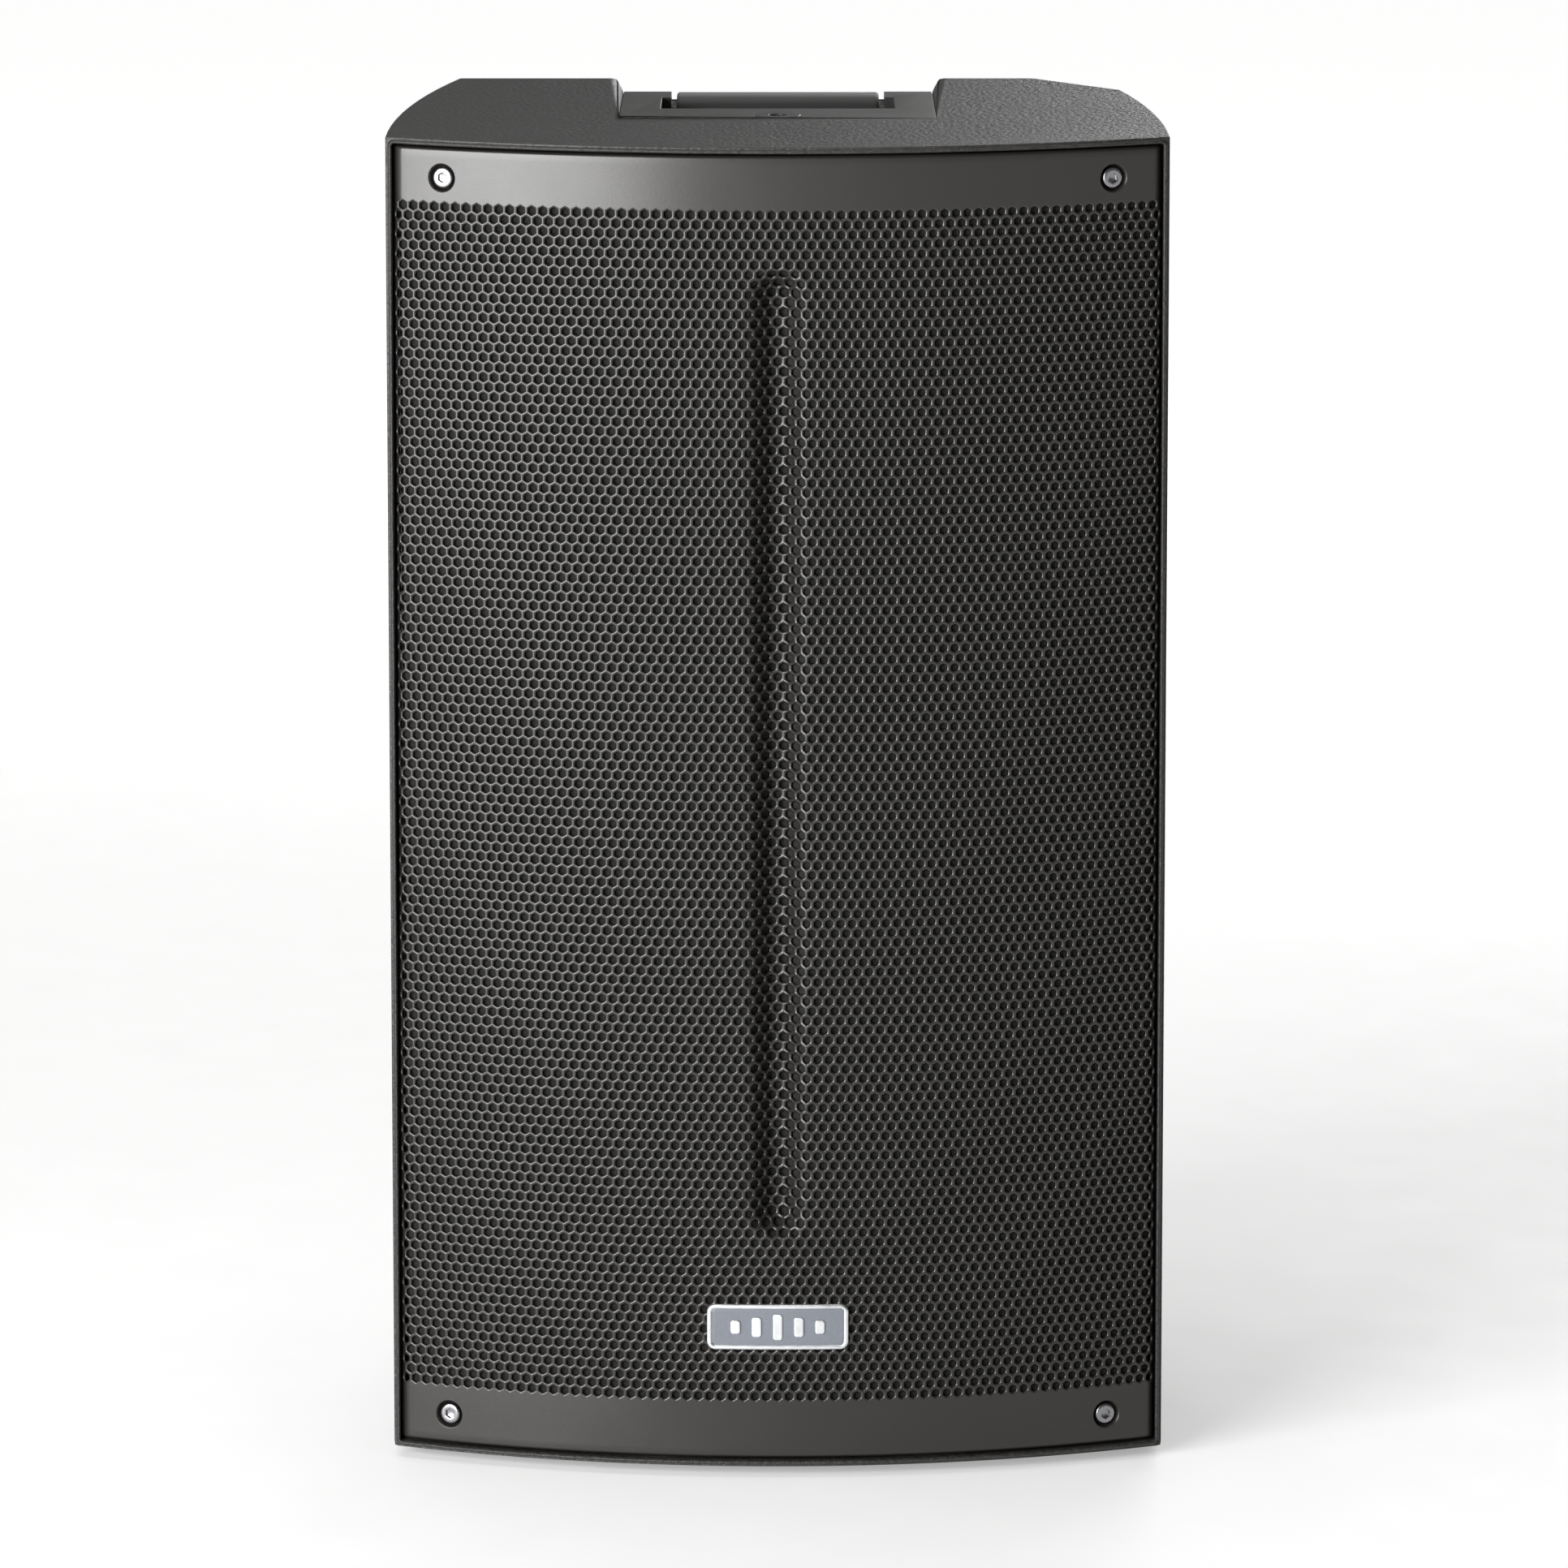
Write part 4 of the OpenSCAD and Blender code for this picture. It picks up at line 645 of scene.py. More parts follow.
def hole_rows(first, last, sizes):
    """Flat pattern of rows of hexagonal cells, each with a twelve-sided hole.

    Cell corners lie on a lattice of half pitches and thirds of a row, so neighbours share them.
    Returns points, triangles, a function from lattice places to point indices, and the range of
    the holes' points."""
    pitch, rise = sizes.pitch, sizes.pitch * math.sqrt(3) / 6
    z_first = SHELL_LOW.z + sizes.first_row
    row, column = np.meshgrid(np.arange(first, last), np.arange(-sizes.half_columns, sizes.half_columns + 1),
                              indexing="ij")
    keep = (row % 2 == 0) | (column < sizes.half_columns)
    row, column = row[keep], column[keep]
    m, n = 2 * column + row % 2, 3 * row
    angle = np.arange(12) * math.pi / 6
    radius = np.where(np.arange(12) % 2 == 0, sizes.hole_flat, sizes.hole_corner)
    hole_s = m[:, None] * pitch / 2 + radius * np.cos(angle)
    hole_z = z_first + n[:, None] * rise + radius * np.sin(angle)
    corner_m = m[:, None] + np.array([1, 0, -1, -1, 0, 1])
    corner_n = n[:, None] + np.array([1, 2, 1, -1, -2, -1])
    key = (corner_m + 1000) * 4000 + corner_n + 1000
    unique, index = np.unique(key, return_inverse=True)
    index = index.reshape(key.shape)
    corner_s = (unique // 4000 - 1000) * pitch / 2
    corner_z = z_first + (unique % 4000 - 1000) * rise
    base = len(unique)
    ring = base + np.arange(hole_s.size).reshape(hole_s.shape)
    j = np.arange(6)
    a, b, c = ring[:, 2 * j], ring[:, 2 * j + 1], ring[:, (2 * j + 2) % 12]
    here, after = index, index[:, (j + 1) % 6]
    triangles = np.concatenate([np.stack(t, -1).reshape(-1, 3)
                                for t in ((a, here, b), (b, here, c), (c, here, after))])
    s = np.concatenate([corner_s, hole_s.ravel()])
    z = np.concatenate([corner_z, hole_z.ravel()])

    def place(m, n):
        return np.searchsorted(unique, (np.asarray(m) + 1000) * 4000 + np.asarray(n) + 1000)

    return s, z, triangles, place, (base, len(s))


def side_lines(sizes):
    """Lengths s of the straight lines that finish the sheet beyond its last holes."""
    *_, face, turn = bow_section(np.zeros(1), sizes)
    last = (2 * sizes.half_columns + 1) * sizes.pitch / 2
    return np.array([max(last + 0.4 * MM, face + turn * 0.99), face + turn + 3 * MM,
                     face + turn + sizes.rim - 1 * MM])


def side_margin(first, last, place, s, z, sizes, side):
    """Quads from the zigzag side of the rows to the straight side lines, with their new points."""
    row = np.arange(first, last)
    m = side * np.where(row % 2 == 0, 2 * sizes.half_columns + 1, 2 * sizes.half_columns)
    zigzag = np.stack([place(m, 3 * row - 1), place(m, 3 * row + 1)], -1).ravel()
    lines = side_lines(sizes)
    new_s = np.repeat(side * lines[:, None], len(zigzag), 1)
    new_z = np.repeat(z[zigzag][None, :], len(lines), 0)
    index = np.concatenate([zigzag[None, :], len(s) + np.arange(new_s.size).reshape(new_s.shape)])
    quads = index.ravel()[grid_faces(len(lines) + 1, len(zigzag))]
    if side > 0:
        quads = quads[:, ::-1]
    return np.concatenate([s, new_s.ravel()]), np.concatenate([z, new_z.ravel()]), quads


def perforated(number, first, last, sizes, trim, replaced):
    """One closed piece of the perforated field, with its rolled side edges."""
    s, z, triangles, place, holes = hole_rows(first, last, sizes)
    s, z, left = side_margin(first, last, place, s, z, sizes, -1)
    s, z, right = side_margin(first, last, place, s, z, sizes, 1)
    closed_sheet(f"grille_holes_{number}", s, z, [triangles, left, right], sizes, trim, replaced, holes)


def band(name, way, sizes, trim):
    """A plain band above (way 1) or below (way -1) the holes, with its fold and two screw cups.

    A grid on the lattice's own lines joins the zigzag edge of the holes; a square of the grid
    round each cup gives way to rings that run from the square to the circle."""
    pitch, rise = sizes.pitch, sizes.pitch * math.sqrt(3) / 6
    row = sizes.rows - 1 if way > 0 else 0
    half = 2 * sizes.half_columns + (1 if row % 2 == 0 else 0)
    m = np.arange(-half, half + 1)
    peak = (m + row) % 2 == 0
    zigzag_z = SHELL_LOW.z + sizes.first_row + (3 * row + way * np.where(peak, 2, 1)) * rise
    lines = side_lines(sizes)
    s_lines = np.concatenate([-lines[::-1], m * pitch / 2, lines])
    start = np.concatenate([np.full(3, zigzag_z[0]), zigzag_z, np.full(3, zigzag_z[-1])])
    edge = GRILLE_HIGH.z - sizes.fold if way > 0 else GRILLE_LOW.z + sizes.fold
    z_cup = SHELL_HIGH.z - trim.screw_drop if way > 0 else SHELL_LOW.z + trim.screw_drop
    square = z_cup + way * np.linspace(-CUP_HALF_SQUARE, CUP_HALF_SQUARE, CUP_CELLS + 1)
    arc = edge + way * sizes.fold * math.pi / 2 * np.linspace(0.2, 1, 5)
    z_lines = np.concatenate([square, [edge], arc, [arc[-1] + way * (sizes.rim - sizes.fold)]])
    grid_z = np.concatenate([start[None, :], np.repeat(z_lines[:, None], len(s_lines), 1)])
    grid_s = np.repeat(s_lines[None, :], len(grid_z), 0)
    index = np.arange(grid_z.size).reshape(grid_z.shape)
    quads = grid_faces(*grid_z.shape)
    s, z = grid_s.ravel(), grid_z.ravel()
    extra = []
    for s_cup, z_here in cup_places(trim):
        if abs(z_here - z_cup) > 1 * MM:
            continue
        left = int(np.argmin(np.abs(s_lines - (s_cup - CUP_HALF_SQUARE))))
        inside = index[1:1 + CUP_CELLS, left:left + CUP_CELLS].ravel()
        quads = quads[~np.isin(quads[:, 0], inside)]
        block = index[1:2 + CUP_CELLS, left:left + CUP_CELLS + 1]
        outline = np.concatenate([block[0, :-1], block[:-1, -1], block[-1, :0:-1], block[:0:-1, 0]])
        s, z, more = cup_rings(s, z, outline, s_cup, z_cup, trim)
        extra += more
    faces = [quads] + extra
    if way < 0:
        faces = [f[:, ::-1] for f in faces]
    closed_sheet(name, s, z, faces, sizes, trim)


def cup_rings(s, z, outline, s_cup, z_cup, trim):
    """Rings from a square outline to the cup: each angle keeps its ray, each ring has one radius."""
    radii = trim.cup + np.array([1.2, 0.2, 0.0, -0.3, -0.6, -0.9, -1.2, -1.5, -2.4, -4.2]) * MM
    turn = np.unwrap(np.arctan2(z[outline] - z_cup, s[outline] - s_cup))
    wrap = np.append(turn, turn[0] + np.sign(turn[-1] - turn[0]) * 2 * math.pi)
    angle = np.stack([wrap[:-1], (wrap[:-1] + wrap[1:]) / 2], -1).ravel()
    ring_s = s_cup + radii[:, None] * np.cos(angle)
    ring_z = z_cup + radii[:, None] * np.sin(angle)
    index = len(s) + np.arange(ring_s.size).reshape(ring_s.shape)
    first, count = index[0], len(outline)
    a, b = outline, np.roll(outline, -1)
    i0, i1, i2 = first[0::2], first[1::2], np.roll(first, -2)[0::2]
    joins = [np.stack([a, b, i1], -1), np.stack([a, i1, i0], -1), np.stack([b, i2, i1], -1)]
    rings = index.ravel()[grid_faces(len(radii), 2 * count, wrap_columns=True)]
    return np.concatenate([s, ring_s.ravel()]), np.concatenate([z, ring_z.ravel()]), joins + [rings]


class CABINET_OT_grille(Operator):
    """Perforated steel sheet: four fields of holes, and a plain band above and below them"""
    bl_idname = "cabinet.grille"
    bl_label = "Grille"

    def execute(self, context):
        sizes, trim = context.scene.cabinet_grille, context.scene.cabinet_trim
        stops = np.linspace(0, sizes.rows, 5).astype(int)
        for number, (first, last) in enumerate(zip(stops[:-1], stops[1:])):
            perforated(number, first, last, sizes, trim, ("grille",) if number == 0 else ())
        band("grille_band_top", 1, sizes, trim)
        band("grille_band_bottom", -1, sizes, trim)
        return {"FINISHED"}


class CABINET_OT_foam(Operator):
    """Thin open-cell foam behind the holes, and the wadding inside the shell"""
    bl_idname = "cabinet.foam"
    bl_label = "Foam"

    def execute(self, context):
        sizes, trim = context.scene.cabinet_grille, context.scene.cabinet_trim
        low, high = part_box("grille_foam")
        *_, face, _ = bow_section(np.zeros(1), sizes)
        s, z = np.meshgrid(np.linspace(-face, face, FOAM_COLUMNS),
                           np.linspace(low.z + FOAM_MARGIN, high.z - FOAM_MARGIN, FOAM_ROWS))
        s, z = s.ravel(), z.ravel()
        ripple = 0.12 * MM * (np.sin(s * 2100) * np.sin(z * 1900) + np.sin(s * 900 + z * 1300))
        front = sheet_shape(s, z, sizes, trim, True)
        out = np.stack(bow_section(s, sizes)[2:4], -1)
        front[:, :2] -= out * (FOAM_GAP + ripple[:, None] + FOAM_RIPPLE)
        back = front.copy()
        back[:, :2] -= out * FOAM_THICK
        faces = grid_faces(FOAM_ROWS, FOAM_COLUMNS)
        count = len(s)
        index = np.arange(count).reshape(FOAM_ROWS, FOAM_COLUMNS)
        rim = np.concatenate([index[0, :-1], index[:-1, -1], index[-1, :0:-1], index[:0:-1, 0]])
        after = np.roll(rim, -1)
        walls = np.stack([after, rim, rim + count, after + count], -1)
        foam = piece("grille_foam_sheet", np.concatenate([front, back]),
                     [faces, faces[:, ::-1] + count, walls], "foam", replaced=("grille_foam",))
        wadding()
        return {"FINISHED"}


def wadding():
    """Wadding pad: the box of its solid with rounded corners and tufts of a sine product."""
    low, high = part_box("damping_wadding")
    u, v = np.meshgrid(np.linspace(0, 2 * math.pi, PAD_COLUMNS, endpoint=False),
                       np.linspace(-1, 1, PAD_ROWS))
    middle, half = (np.array(low) + np.array(high)) / 2, (np.array(high) - np.array(low)) / 2
    ring = np.abs(np.cos(u)) ** 0.35 * np.sign(np.cos(u)), np.abs(np.sin(u)) ** 0.35 * np.sign(np.sin(u))
    close = (1 - np.abs(v) ** 12) ** 0.5
    tuft = 1 - 0.06 * (0.5 + 0.5 * np.sin(9 * u) * np.sin(24 * v))
    depth = (middle[1] + ring[1] * close * half[1] * 0.97 - EDGE_Y)
    lean = PAD_LEAN_R - np.sqrt(PAD_LEAN_R ** 2 - depth ** 2)
    x = low.x + lean + PAD_MIDDLE + ring[0] * close * tuft * PAD_HALF
    points = np.stack([x, middle[1] + ring[1] * close * half[1] * 0.97, middle[2] + v * half[2] * 0.99], -1)
    faces = grid_faces(PAD_ROWS, PAD_COLUMNS, wrap_columns=True)
    return piece("wadding_pad", points.reshape(-1, 3), [faces], "wadding", replaced=("damping_wadding",))


# ---- shell ----

def front_y(x, radius):
    """Depth of the bowed front of a radius at x: a circle about the front's upright axis."""
    return FRONT_CY - np.sqrt(radius ** 2 - x ** 2)


class CABINET_OT_shell(Operator):
    """Textured moulded shell with rounded edges, and the bead that frames the grille"""
    bl_idname = "cabinet.shell"
    bl_label = "Shell"

    def execute(self, context):
        sizes = context.scene.cabinet_shell
        height = sizes.bead_height

        def draw_back(shape):
            for vert in shape.verts:
                radius = math.hypot(vert.co.x, vert.co.y - FRONT_CY)
                if abs(radius - FRONT_R) < 0.3 * MM and vert.co.y < EDGE_Y + 0.2 * MM:
                    vert.co.y += height * FRONT_R / (FRONT_CY - vert.co.y)

        def share(edge):
            if len(edge.link_faces) != 2 or not edge.is_convex:
                return 0.0
            if edge.calc_face_angle(0) < math.radians(20):
                return 0.0
            middle = (edge.verts[0].co + edge.verts[1].co) / 2
            radius = math.hypot(middle.x, middle.y - FRONT_CY)
            if abs(radius - (FRONT_R - height)) < 0.8 * MM:
                return 0.12
            outside = (edge.calc_length() > 30 * MM and middle.z > 0.2) or middle.z < 6 * MM
            return 1.0 if outside and abs(middle.x) > 60 * MM else 0.2

        finished_copy("cabinet_shell", width=sizes.round_over, reshape=draw_back, weigh=share,
                      name="textured_shell")
        bead(sizes)
        finished_copy("handle_tray", width=1.2 * MM, name="smooth_tray")
        return {"FINISHED"}


def bead(sizes):
    """Bead round the grille: half an ellipse carried along a rounded rectangle on the bowed front."""
    inset, corner, count = sizes.bead_in, 2.2 * MM, 24
    x_end, z_low, z_high = HALF_W - inset, SHELL_LOW.z + inset, SHELL_HIGH.z - inset
    bend = np.linspace(0, math.pi / 2, 9)
    turns = []
    for k, (cx, cz) in enumerate(((x_end, z_high), (-x_end, z_high), (-x_end, z_low), (x_end, z_low))):
        angle = bend + k * math.pi / 2
        turns.append(np.stack([cx - math.copysign(corner, cx) + corner * np.cos(angle),
                               cz + (corner if cz == z_low else -corner) + corner * np.sin(angle),
                               np.cos(angle), np.sin(angle)], -1))
    path = []
    for here, after in zip(turns, turns[1:] + turns[:1]):
        path.append(here)
        t = np.linspace(0, 1, 90)[1:-1, None]
        path.append(here[-1] * (1 - t) + after[0] * t)
    path = np.concatenate(path)
    around = np.linspace(0, 2 * math.pi, count, endpoint=False)
    wide = sizes.bead_half * np.cos(around)
    tall = np.where(np.sin(around) > 0, sizes.bead_height * np.sin(around), 0.8 * MM * np.sin(around))
    x = path[:, 0:1] + path[:, 2:3] * wide
    z = path[:, 1:2] + path[:, 3:4] * wide
    y = front_y(x, FRONT_R - sizes.bead_height + np.broadcast_to(tall, x.shape))
    points = np.stack([x, y, z], -1).reshape(-1, 3)
    return piece("grille_frame_bead", points,
                 [grid_faces(len(path), count, wrap_rows=True, wrap_columns=True)[:, ::-1]], "shell_plastic")


# ---- trim ----

class CABINET_OT_grille_screws(Operator):
    """Four button-head screws with hexagonal sockets"""
    bl_idname = "cabinet.grille_screws"
    bl_label = "Grille Screws"

    def execute(self, context):
        trim = context.scene.cabinet_trim
        radius = FRONT_CY - GRILLE_LOW.y
        for number, (s, z) in enumerate(cup_places(trim)):
            turn = s / radius
            out = np.array([math.sin(turn), -math.cos(turn), 0.0])
            across = np.array([math.cos(turn), math.sin(turn), 0.0])
            floor = np.array([0, FRONT_CY, z]) + out * (radius - trim.cup_depth)
            button_head(f"grille_screw_{number}", floor, across, out, trim,
                        ("grille_screws",) if number == 0 else ())
        return {"FINISHED"}


def button_head(name, floor, across, out, trim, replaced):
    """Button head: a dome turned about its axis, whose inner rings narrow to a hexagon.

    Rings of (radius, height) from the seat over the dome to the socket's floor; from the socket on,
    each radius is that of a hexagon at its angle, which is the flat's distance over a cosine."""
    top, r = trim.head_height, trim.head
    inner = trim.socket
    rings = [(r * 0.9, 0.0, 0), (r * 0.985, 0.1 * MM, 0), (r, 0.6 * MM, 0), (r * 0.985, top * 0.6, 0),
             (r * 0.94, top * 0.82, 0), (r * 0.86, top * 0.94, 0), (r * 0.74, top * 0.985, 0),
             (inner + 0.35 * MM, top, 0.3), (inner + 0.06 * MM, top - 0.1 * MM, 0.8),
             (inner, top - 0.35 * MM, 1),
             (inner, 0.6 * MM, 1), (inner * 0.5, 0.35 * MM, 0.5)]
    count = 72
    angle = np.arange(count) * 2 * math.pi / count
    folded = (angle + math.pi / 6) % (math.pi / 3) - math.pi / 6
    hexagon = math.cos(math.pi / 6) / np.cos(folded)
    upward = np.cross(out, across)
    points = []
    for radius, height, share in rings:
        reach = radius * (1 - share + share * hexagon)
        spoke = np.cos(angle)[:, None] * across + np.sin(angle)[:, None] * upward
        points.append(floor + reach[:, None] * spoke + height * out)
    points = np.concatenate(points + [[floor], [floor + 0.25 * MM * out]])
    total = len(rings) * count
    faces = grid_faces(len(rings), count, wrap_columns=True)
    made = piece(name, points, [faces, fan(np.arange(count)[::-1], total),
                                fan(np.arange(total - count, total), total + 1)], "zinc_steel",
                 replaced=replaced)
    made.data.set_sharp_from_angle(angle=math.radians(50))
    return made


def rounded_outline(width, height, corner, count):
    """Points and outward directions along a rounded rectangle, evenly spread by angle on its
    corners and by length on its sides, anticlockwise."""
    bend = np.linspace(0, math.pi / 2, 10)
    turns = []
    for k, (sx, sz) in enumerate(((1, 1), (-1, 1), (-1, -1), (1, -1))):
        angle = bend + k * math.pi / 2
        turns.append(np.stack([sx * (width / 2 - corner) + corner * np.cos(angle),
                               sz * (height / 2 - corner) + corner * np.sin(angle),
                               np.cos(angle), np.sin(angle)], -1))
    path = []
    for here, after in zip(turns, turns[1:] + turns[:1]):
        path.append(here)
        t = np.linspace(0, 1, count)[1:-1, None]
        path.append(here[-1] * (1 - t) + after[0] * t)
    return np.concatenate(path)


class CABINET_OT_badge(Operator):
    """Badge: a raised bright border, an enamelled field and five polished bars"""
    bl_idname = "cabinet.badge"
    bl_label = "Badge"

    def execute(self, context):
        trim = context.scene.cabinet_trim
        z = SHELL_LOW.z + trim.badge_rise
        face = FRONT_CY - GRILLE_LOW.y
        thick = 2.0 * MM
        rim = [(0.0, -0.3 * MM), (0.0, thick * 0.55), (-0.25 * MM, thick * 0.85), (-0.8 * MM, thick * 0.98),
               (-1.3 * MM, thick), (-1.8 * MM, thick * 0.95), (-2.2 * MM, thick * 0.7),
               (-2.35 * MM, thick * 0.4), (-2.4 * MM, -0.3 * MM)]
        path = rounded_outline(trim.badge_w, trim.badge_h, 4 * MM, 24)
        step = np.array([r[0] for r in rim])
        rise = np.array([r[1] for r in rim])
        x = path[:, 0:1] + path[:, 2:3] * step
        height = path[:, 1:2] + path[:, 3:4] * step
        points = np.stack([x, front_y(x, face + rise[None, :]), z + height], -1).reshape(-1, 3)
        faces = grid_faces(len(path), len(rim), wrap_rows=True, wrap_columns=True)
        piece("badge_border", points, [faces[:, ::-1]], "badge_metal", replaced=("badge_plate",))
        pillow("badge_enamel", trim.badge_w - 4.4 * MM, trim.badge_h - 4.4 * MM, 2.2 * MM, 0.0, z,
               face, thick * 0.62, "badge_field", "badge_metal")
        for i, tall in enumerate(BAR_HEIGHTS):
            pillow(f"badge_bar_{i}", trim.bar_w, tall, trim.bar_w * 0.3, (i - 2) * trim.bar_pitch, z,
                   face, thick * 0.97, "badge_metal", "badge_metal", ("badge_emblem",) if i == 0 else ())
        return {"FINISHED"}


def pillow(name, width, height, corner, x_mid, z_mid, face, rise, finish_slot, slot, replaced=()):
    """Raised plate on the bowed front: rings of a rounded rectangle, the last ones drawn in and
    lifted on a quarter circle, closed by a middle point."""
    path = rounded_outline(width, height, corner, 12)
    lip = min(0.35 * MM, corner * 0.5)
    turn = np.linspace(0, math.pi / 2, 5)
    step = np.concatenate([[0.0], -lip * (1 - np.cos(turn)), [-corner * 0.75]])
    up = np.concatenate([[-0.2 * MM], rise - lip + lip * np.sin(turn), [rise]])
    x = x_mid + path[:, 0:1] + path[:, 2:3] * step
    z = z_mid + path[:, 1:2] + path[:, 3:4] * step
    grid = np.stack([x, front_y(x, face + up[None, :]), z], -1)
    middle = np.array([[x_mid, front_y(np.array(x_mid), face + rise), z_mid],
                       [x_mid, front_y(np.array(x_mid), face - 0.2 * MM), z_mid]])
    rows, columns = grid.shape[:2]
    ring = np.arange(rows) * columns
    total = rows * columns
    faces = grid_faces(rows, columns, wrap_rows=True)[:, ::-1]
    made = piece(name, np.concatenate([grid.reshape(-1, 3), middle]),
                 [faces, fan(ring + columns - 1, total), fan(ring[::-1], total + 1)], slot,
                 replaced=replaced)
    made.data.materials[0] = finish(finish_slot)
    return made


def grip_sleeve(trim):
    """Rubber sleeve: an oval section whose sines are flattened by a power, carried along X, and
    drawn in at both ends on a quarter circle; a middle point closes each end."""
    middle = (np.array(GRIP_LOW) + np.array(GRIP_HIGH)) / 2
    half = (np.array(GRIP_HIGH) - np.array(GRIP_LOW)) / 2
    turn = np.linspace(0, 2 * math.pi, 72, endpoint=False)
    across = np.sign(np.cos(turn)) * np.abs(np.cos(turn)) ** trim.grip_power
    upward = np.sign(np.sin(turn)) * np.abs(np.sin(turn)) ** trim.grip_power
    bend = np.linspace(0, math.pi / 2, 7)
    ends = trim.grip_round
    near = -half[0] + ends * (1 - np.cos(bend))
    x = np.concatenate([near, np.linspace(near[-1], -near[-1], 40)[1:-1], -near[::-1]])
    inset = np.zeros(len(x))
    inset[:7] = ends * (1 - np.sin(bend))
    inset[-7:] = inset[:7][::-1]
    grid = np.stack([np.repeat((middle[0] + x)[:, None], len(turn), 1),
                     middle[1] + across * (half[1] - inset)[:, None],
                     middle[2] + upward * (half[2] - inset)[:, None]], -1)
    total = grid.shape[0] * grid.shape[1]
    caps = np.array([[middle[0] + x[0], *middle[1:]], [middle[0] + x[-1], *middle[1:]]])
    first, last = np.arange(len(turn)), np.arange(total - len(turn), total)
    return piece("grip_sleeve", np.concatenate([grid.reshape(-1, 3), caps]),
                 [grid_faces(*grid.shape[:2], wrap_columns=True)[:, ::-1], fan(first, total),
                  fan(last[::-1], total + 1)], "rubber", replaced=("handle_grip",))


class CABINET_OT_handle(Operator):
    """Rubber grip on its steel core, with the two screws that hold it"""
    bl_idname = "cabinet.handle"
    bl_label = "Handle"

    def execute(self, context):
        grip_sleeve(context.scene.cabinet_trim)
        finish_nodes(["handle_core", "handle_screws"], 0.3 * MM)
        return {"FINISHED"}


# ---- copies of the frame's hard parts ----

def finish_nodes(nodes, width=0.35 * MM):
    """Rounded, finished copies of CAD nodes."""
    for node in nodes:
        finished_copy(node, width=width)


class CABINET_OT_mounts(Operator):
    """Flying inserts, stand socket, rubber feet and their screws"""
    bl_idname = "cabinet.mounts"
    bl_label = "Mounts"

    def execute(self, context):
        finish_nodes(["flying_inserts", "pole_socket"], 0.6 * MM)
        finish_nodes(["rubber_feet"], 0.8 * MM)
        finish_nodes(["pole_socket_screws", "foot_screws"], 0.25 * MM)
        return {"FINISHED"}


class CABINET_OT_woofer(Operator):
    """Woofer: basket, magnet, cone, coil, surround and spider"""
    bl_idname = "cabinet.woofer"
    bl_label = "Woofer"

    def execute(self, context):
        finish_nodes([node for node in SLOT_OF if node.startswith("woofer_")], 0.3 * MM)
        return {"FINISHED"}


class CABINET_OT_horn(Operator):
    """Horn with its compression driver, the bass ports and the front baffle"""
    bl_idname = "cabinet.horn"
    bl_label = "Horn"

    def execute(self, context):
        nodes = [node for node in SLOT_OF if node.startswith(("horn", "driver_"))]
        finish_nodes(nodes + ["port_tubes", "front_baffle", "baffle_screws"], 0.3 * MM)
        return {"FINISHED"}


class CABINET_OT_amplifier(Operator):
    """Amplifier panel with its heatsink, board, transformer, capacitors and wires"""
    bl_idname = "cabinet.amplifier"
    bl_label = "Amplifier"

    def execute(self, context):
        finish_nodes(["amp_panel", "heatsink"], 0.5 * MM)
        finish_nodes(["amp_gasket", "panel_screws", "main_board", "transformer", "capacitors",
                      "speaker_wires"], 0.2 * MM)
        return {"FINISHED"}


class CABINET_OT_controls(Operator):
    """Mains inlet, switch, sockets, knobs, button and lights on the panel"""
    bl_idname = "cabinet.controls"
    bl_label = "Controls"

    def execute(self, context):
        finish_nodes(["mains_inlet", "fuse_drawer", "rocker_frame", "power_rocker", "input_jacks",
                      "latch_a", "latch_b", "link_jack", "level_knob_a", "level_knob_b",
                      "control_bodies", "mode_button", "status_leds"], 0.25 * MM)
        return {"FINISHED"}


# ---- studio ----

def softbox(name, place, aim, width, height, power):
    """An area light at a place, turned towards a point and hidden from the camera."""
    light = bpy.data.lights.new(name, "AREA")
    light.shape, light.size, light.size_y, light.energy = "RECTANGLE", width, height, power
    made = bpy.data.objects.new(name, light)
    bpy.context.scene.collection.objects.link(made)
    made.location = place
    made.rotation_euler = (Vector(aim) - Vector(place)).to_track_quat("-Z", "Y").to_euler()
    made.visible_camera = False


def studio_floor(stage):
    """Round floor: rings of a disc whose radii grow as squares, its middle left to the last ring."""
    turn, ring = np.meshgrid(np.linspace(0, 2 * math.pi, 96, endpoint=False), np.linspace(0, 1, 24))
    radius = 0.02 + 16 * ring ** 2
    points = np.stack([radius * np.cos(turn), radius * np.sin(turn), np.full(turn.shape, -0.1 * MM)], -1)
    mesh = bpy.data.meshes.new("studio_floor")
    fill(mesh, points.reshape(-1, 3), [grid_faces(24, 96, wrap_columns=True), np.arange(95, -1, -1)[None, :]])
    # White floor with painted light: a glow that grows with distance from the middle, from the near value
    # within 0.5 m to the far value beyond 4 m, standing in for the lamps' light on the floor, with a faint
    # satin break
    paint = moulded("floor_painted_glow", tuple(stage.floor), 0.6, 3 * MM, 0.01 * MM, mottle_and_grain_shade=0.01,
                    Specular_IOR_Level=0.2)
    tree, shader = paint.node_tree, paint.node_tree.nodes["Principled BSDF"]
    away = add(tree, "ShaderNodeVectorMath", operation="LENGTH",
               links={"Vector": tree.nodes["Texture Coordinate"].outputs["Object"]}).outputs["Value"]
    # Painted light: the floor's glow rises with distance from the middle
    glow = add(tree, "ShaderNodeMapRange", links={"Value": away}, interpolation_type="SMOOTHSTEP",
               values={"From Min": 0.5, "From Max": 4.0, "To Min": stage.glow, "To Max": stage.far_glow})
    tree.links.new(glow.outputs["Result"], shader.inputs["Emission Strength"])
    shader.inputs["Emission Color"].default_value = linear("#ffffff")
    mesh.materials.append(paint)
    floor = bpy.data.objects.new("studio_floor", mesh)
    bpy.context.scene.collection.objects.link(floor)


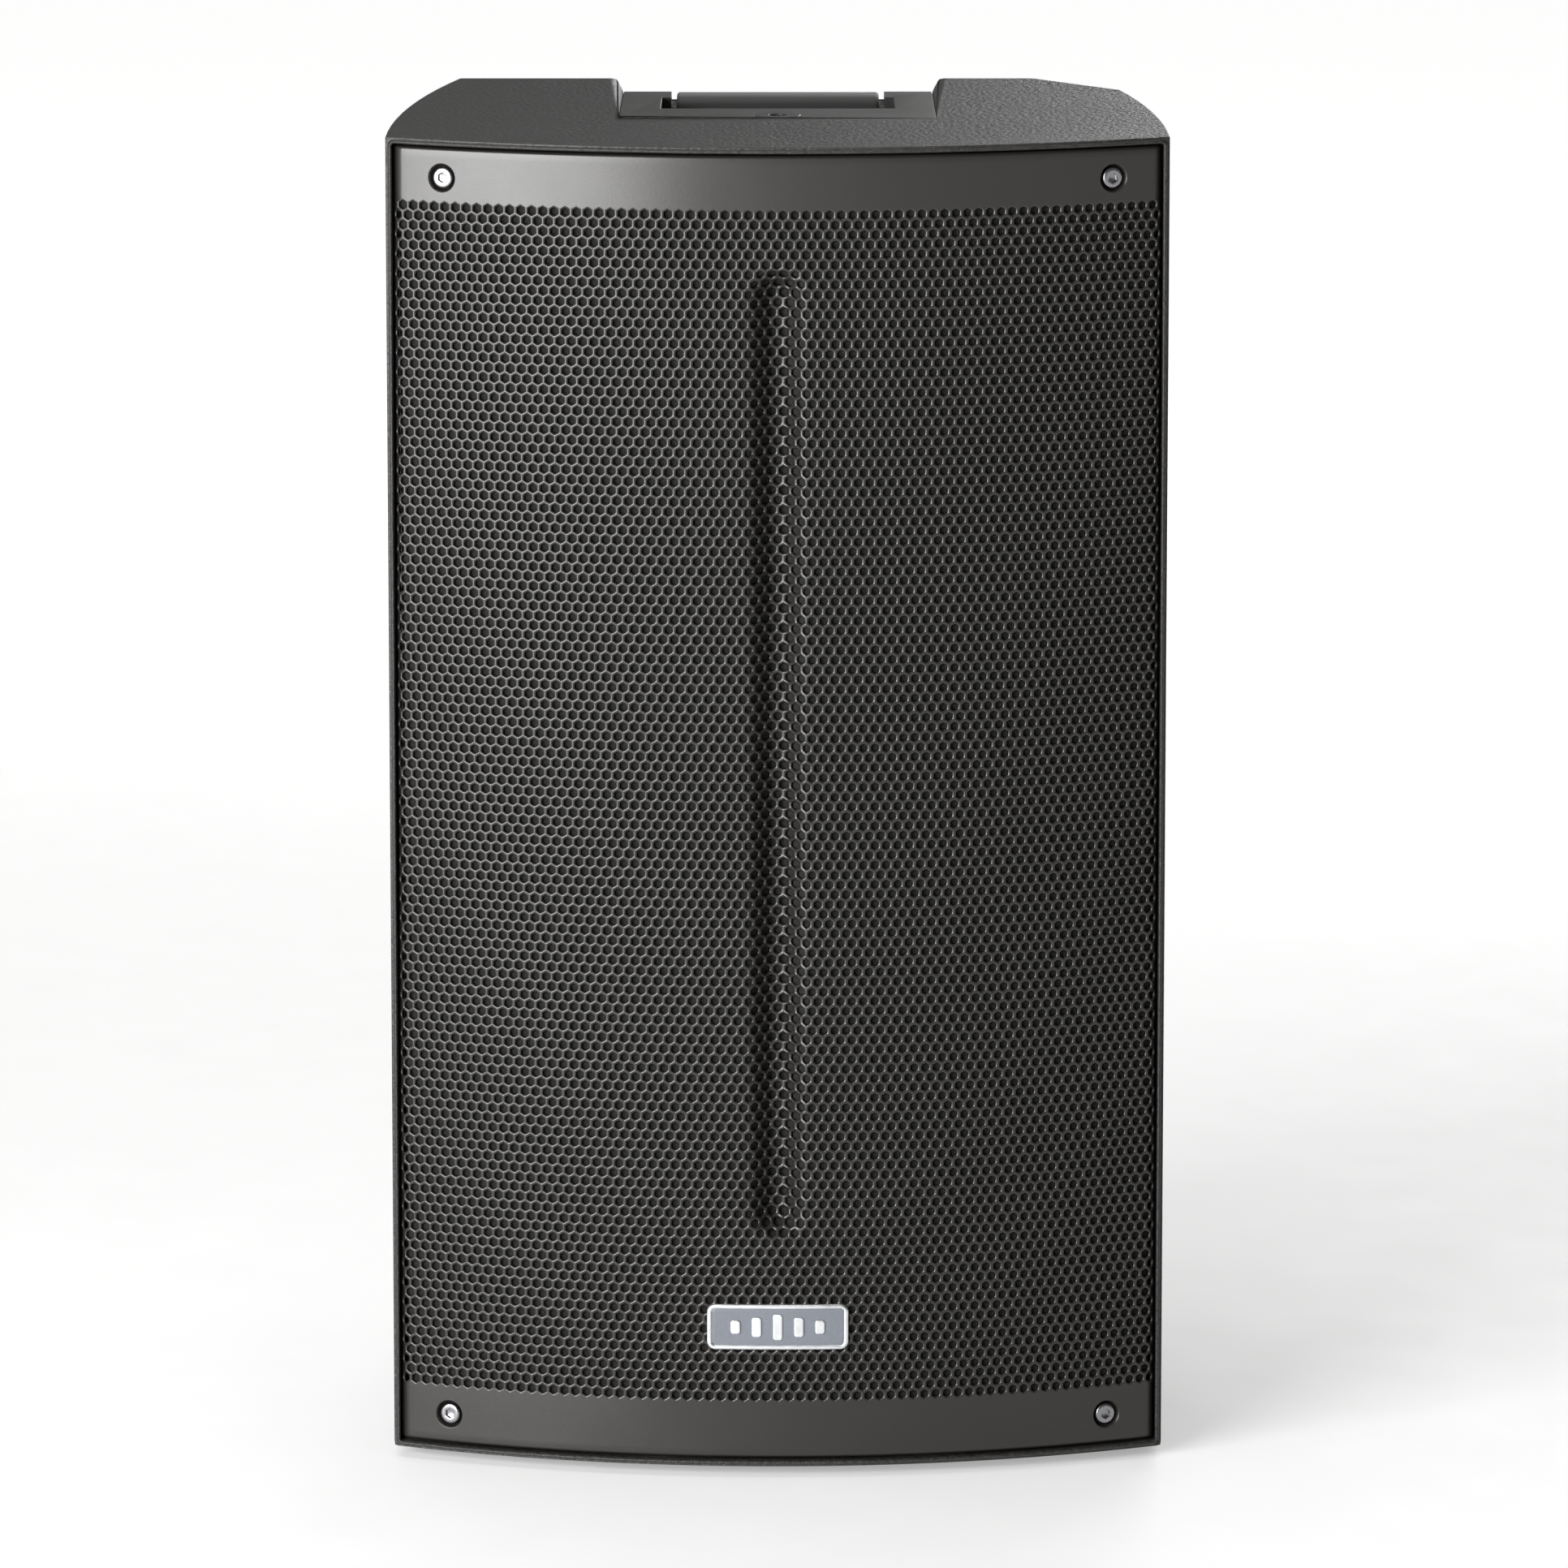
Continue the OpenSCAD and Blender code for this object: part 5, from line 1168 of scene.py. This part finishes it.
def studio_air(stage):
    """Even light from all round."""
    world = bpy.data.worlds.new("studio_air")
    world.use_nodes = True
    world.node_tree.nodes["Background"].inputs["Color"].default_value = linear("#f6f5f2")
    world.node_tree.nodes["Background"].inputs["Strength"].default_value = stage.air
    bpy.context.scene.world = world


def studio_camera(stage):
    """Camera on the middle plane, looking down at the front."""
    lens = bpy.data.cameras.new("view")
    lens.sensor_width, lens.lens = 36.0, stage.lens
    made = bpy.data.objects.new("view", lens)
    bpy.context.scene.collection.objects.link(made)
    target = Vector((stage.aside, EDGE_Y, SHELL_HIGH.z - stage.drop))
    back = Vector((0, -math.cos(stage.pitch), math.sin(stage.pitch)))
    made.location = target + back * stage.distance
    made.rotation_euler = (math.pi / 2 - stage.pitch, 0, 0)
    bpy.context.scene.camera = made


class CABINET_OT_stage(Operator):
    """Pale seamless floor, soft light and the camera"""
    bl_idname = "cabinet.stage"
    bl_label = "Stage"

    def execute(self, context):
        stage = context.scene.cabinet_stage
        aim = (0, 0, 0.3)
        studio_floor(stage)
        studio_air(stage)
        studio_camera(stage)
        softbox("key_left", (-1.85, -2.45, 0.85), aim, 2.1, 1.7, stage.key)
        softbox("rear_right", (1.05, 3.2, 1.3), (0.1, 0, 0.63), 1.5, 0.8, stage.rear)
        softbox("overhead", (-0.4, 0.3, 3.0), aim, 3.0, 3.0, stage.top)
        context.scene.view_settings.view_transform = "Standard"
        return {"FINISHED"}


# ---- add-on ----

STEPS = (CABINET_OT_stage, CABINET_OT_shell, CABINET_OT_grille, CABINET_OT_foam,
         CABINET_OT_grille_screws, CABINET_OT_badge, CABINET_OT_handle, CABINET_OT_mounts,
         CABINET_OT_woofer, CABINET_OT_horn, CABINET_OT_amplifier, CABINET_OT_controls)
SETTINGS = {"cabinet_shell": CabinetShellSettings, "cabinet_grille": CabinetGrilleSettings,
            "cabinet_trim": CabinetTrimSettings, "cabinet_stage": CabinetStageSettings}


class CABINET_PT_looks(Panel):
    """The pieces and their settings"""
    bl_idname = "CABINET_PT_looks"
    bl_label = "Loudspeaker Cabinet"
    bl_space_type = "VIEW_3D"
    bl_region_type = "UI"
    bl_category = "Cabinet"

    def draw(self, context):
        for step in STEPS:
            self.layout.operator(step.bl_idname)
        for key, group in SETTINGS.items():
            box = self.layout.box()
            for field in group.__annotations__:
                box.prop(getattr(context.scene, key), field)


def register():
    for made in (*SETTINGS.values(), *STEPS, CABINET_PT_looks):
        bpy.utils.register_class(made)
    for key, group in SETTINGS.items():
        setattr(bpy.types.Scene, key, PointerProperty(type=group))


def unregister():
    for key in SETTINGS:
        delattr(bpy.types.Scene, key)
    for made in reversed((*SETTINGS.values(), *STEPS, CABINET_PT_looks)):
        bpy.utils.unregister_class(made)


def main():
    register()
    for step in STEPS:
        space, call = step.bl_idname.split(".")
        if getattr(getattr(bpy.ops, space), call)() != {"FINISHED"}:
            raise RuntimeError(f"{step.bl_label} did not finish")


if __name__ == "__main__":
    main()
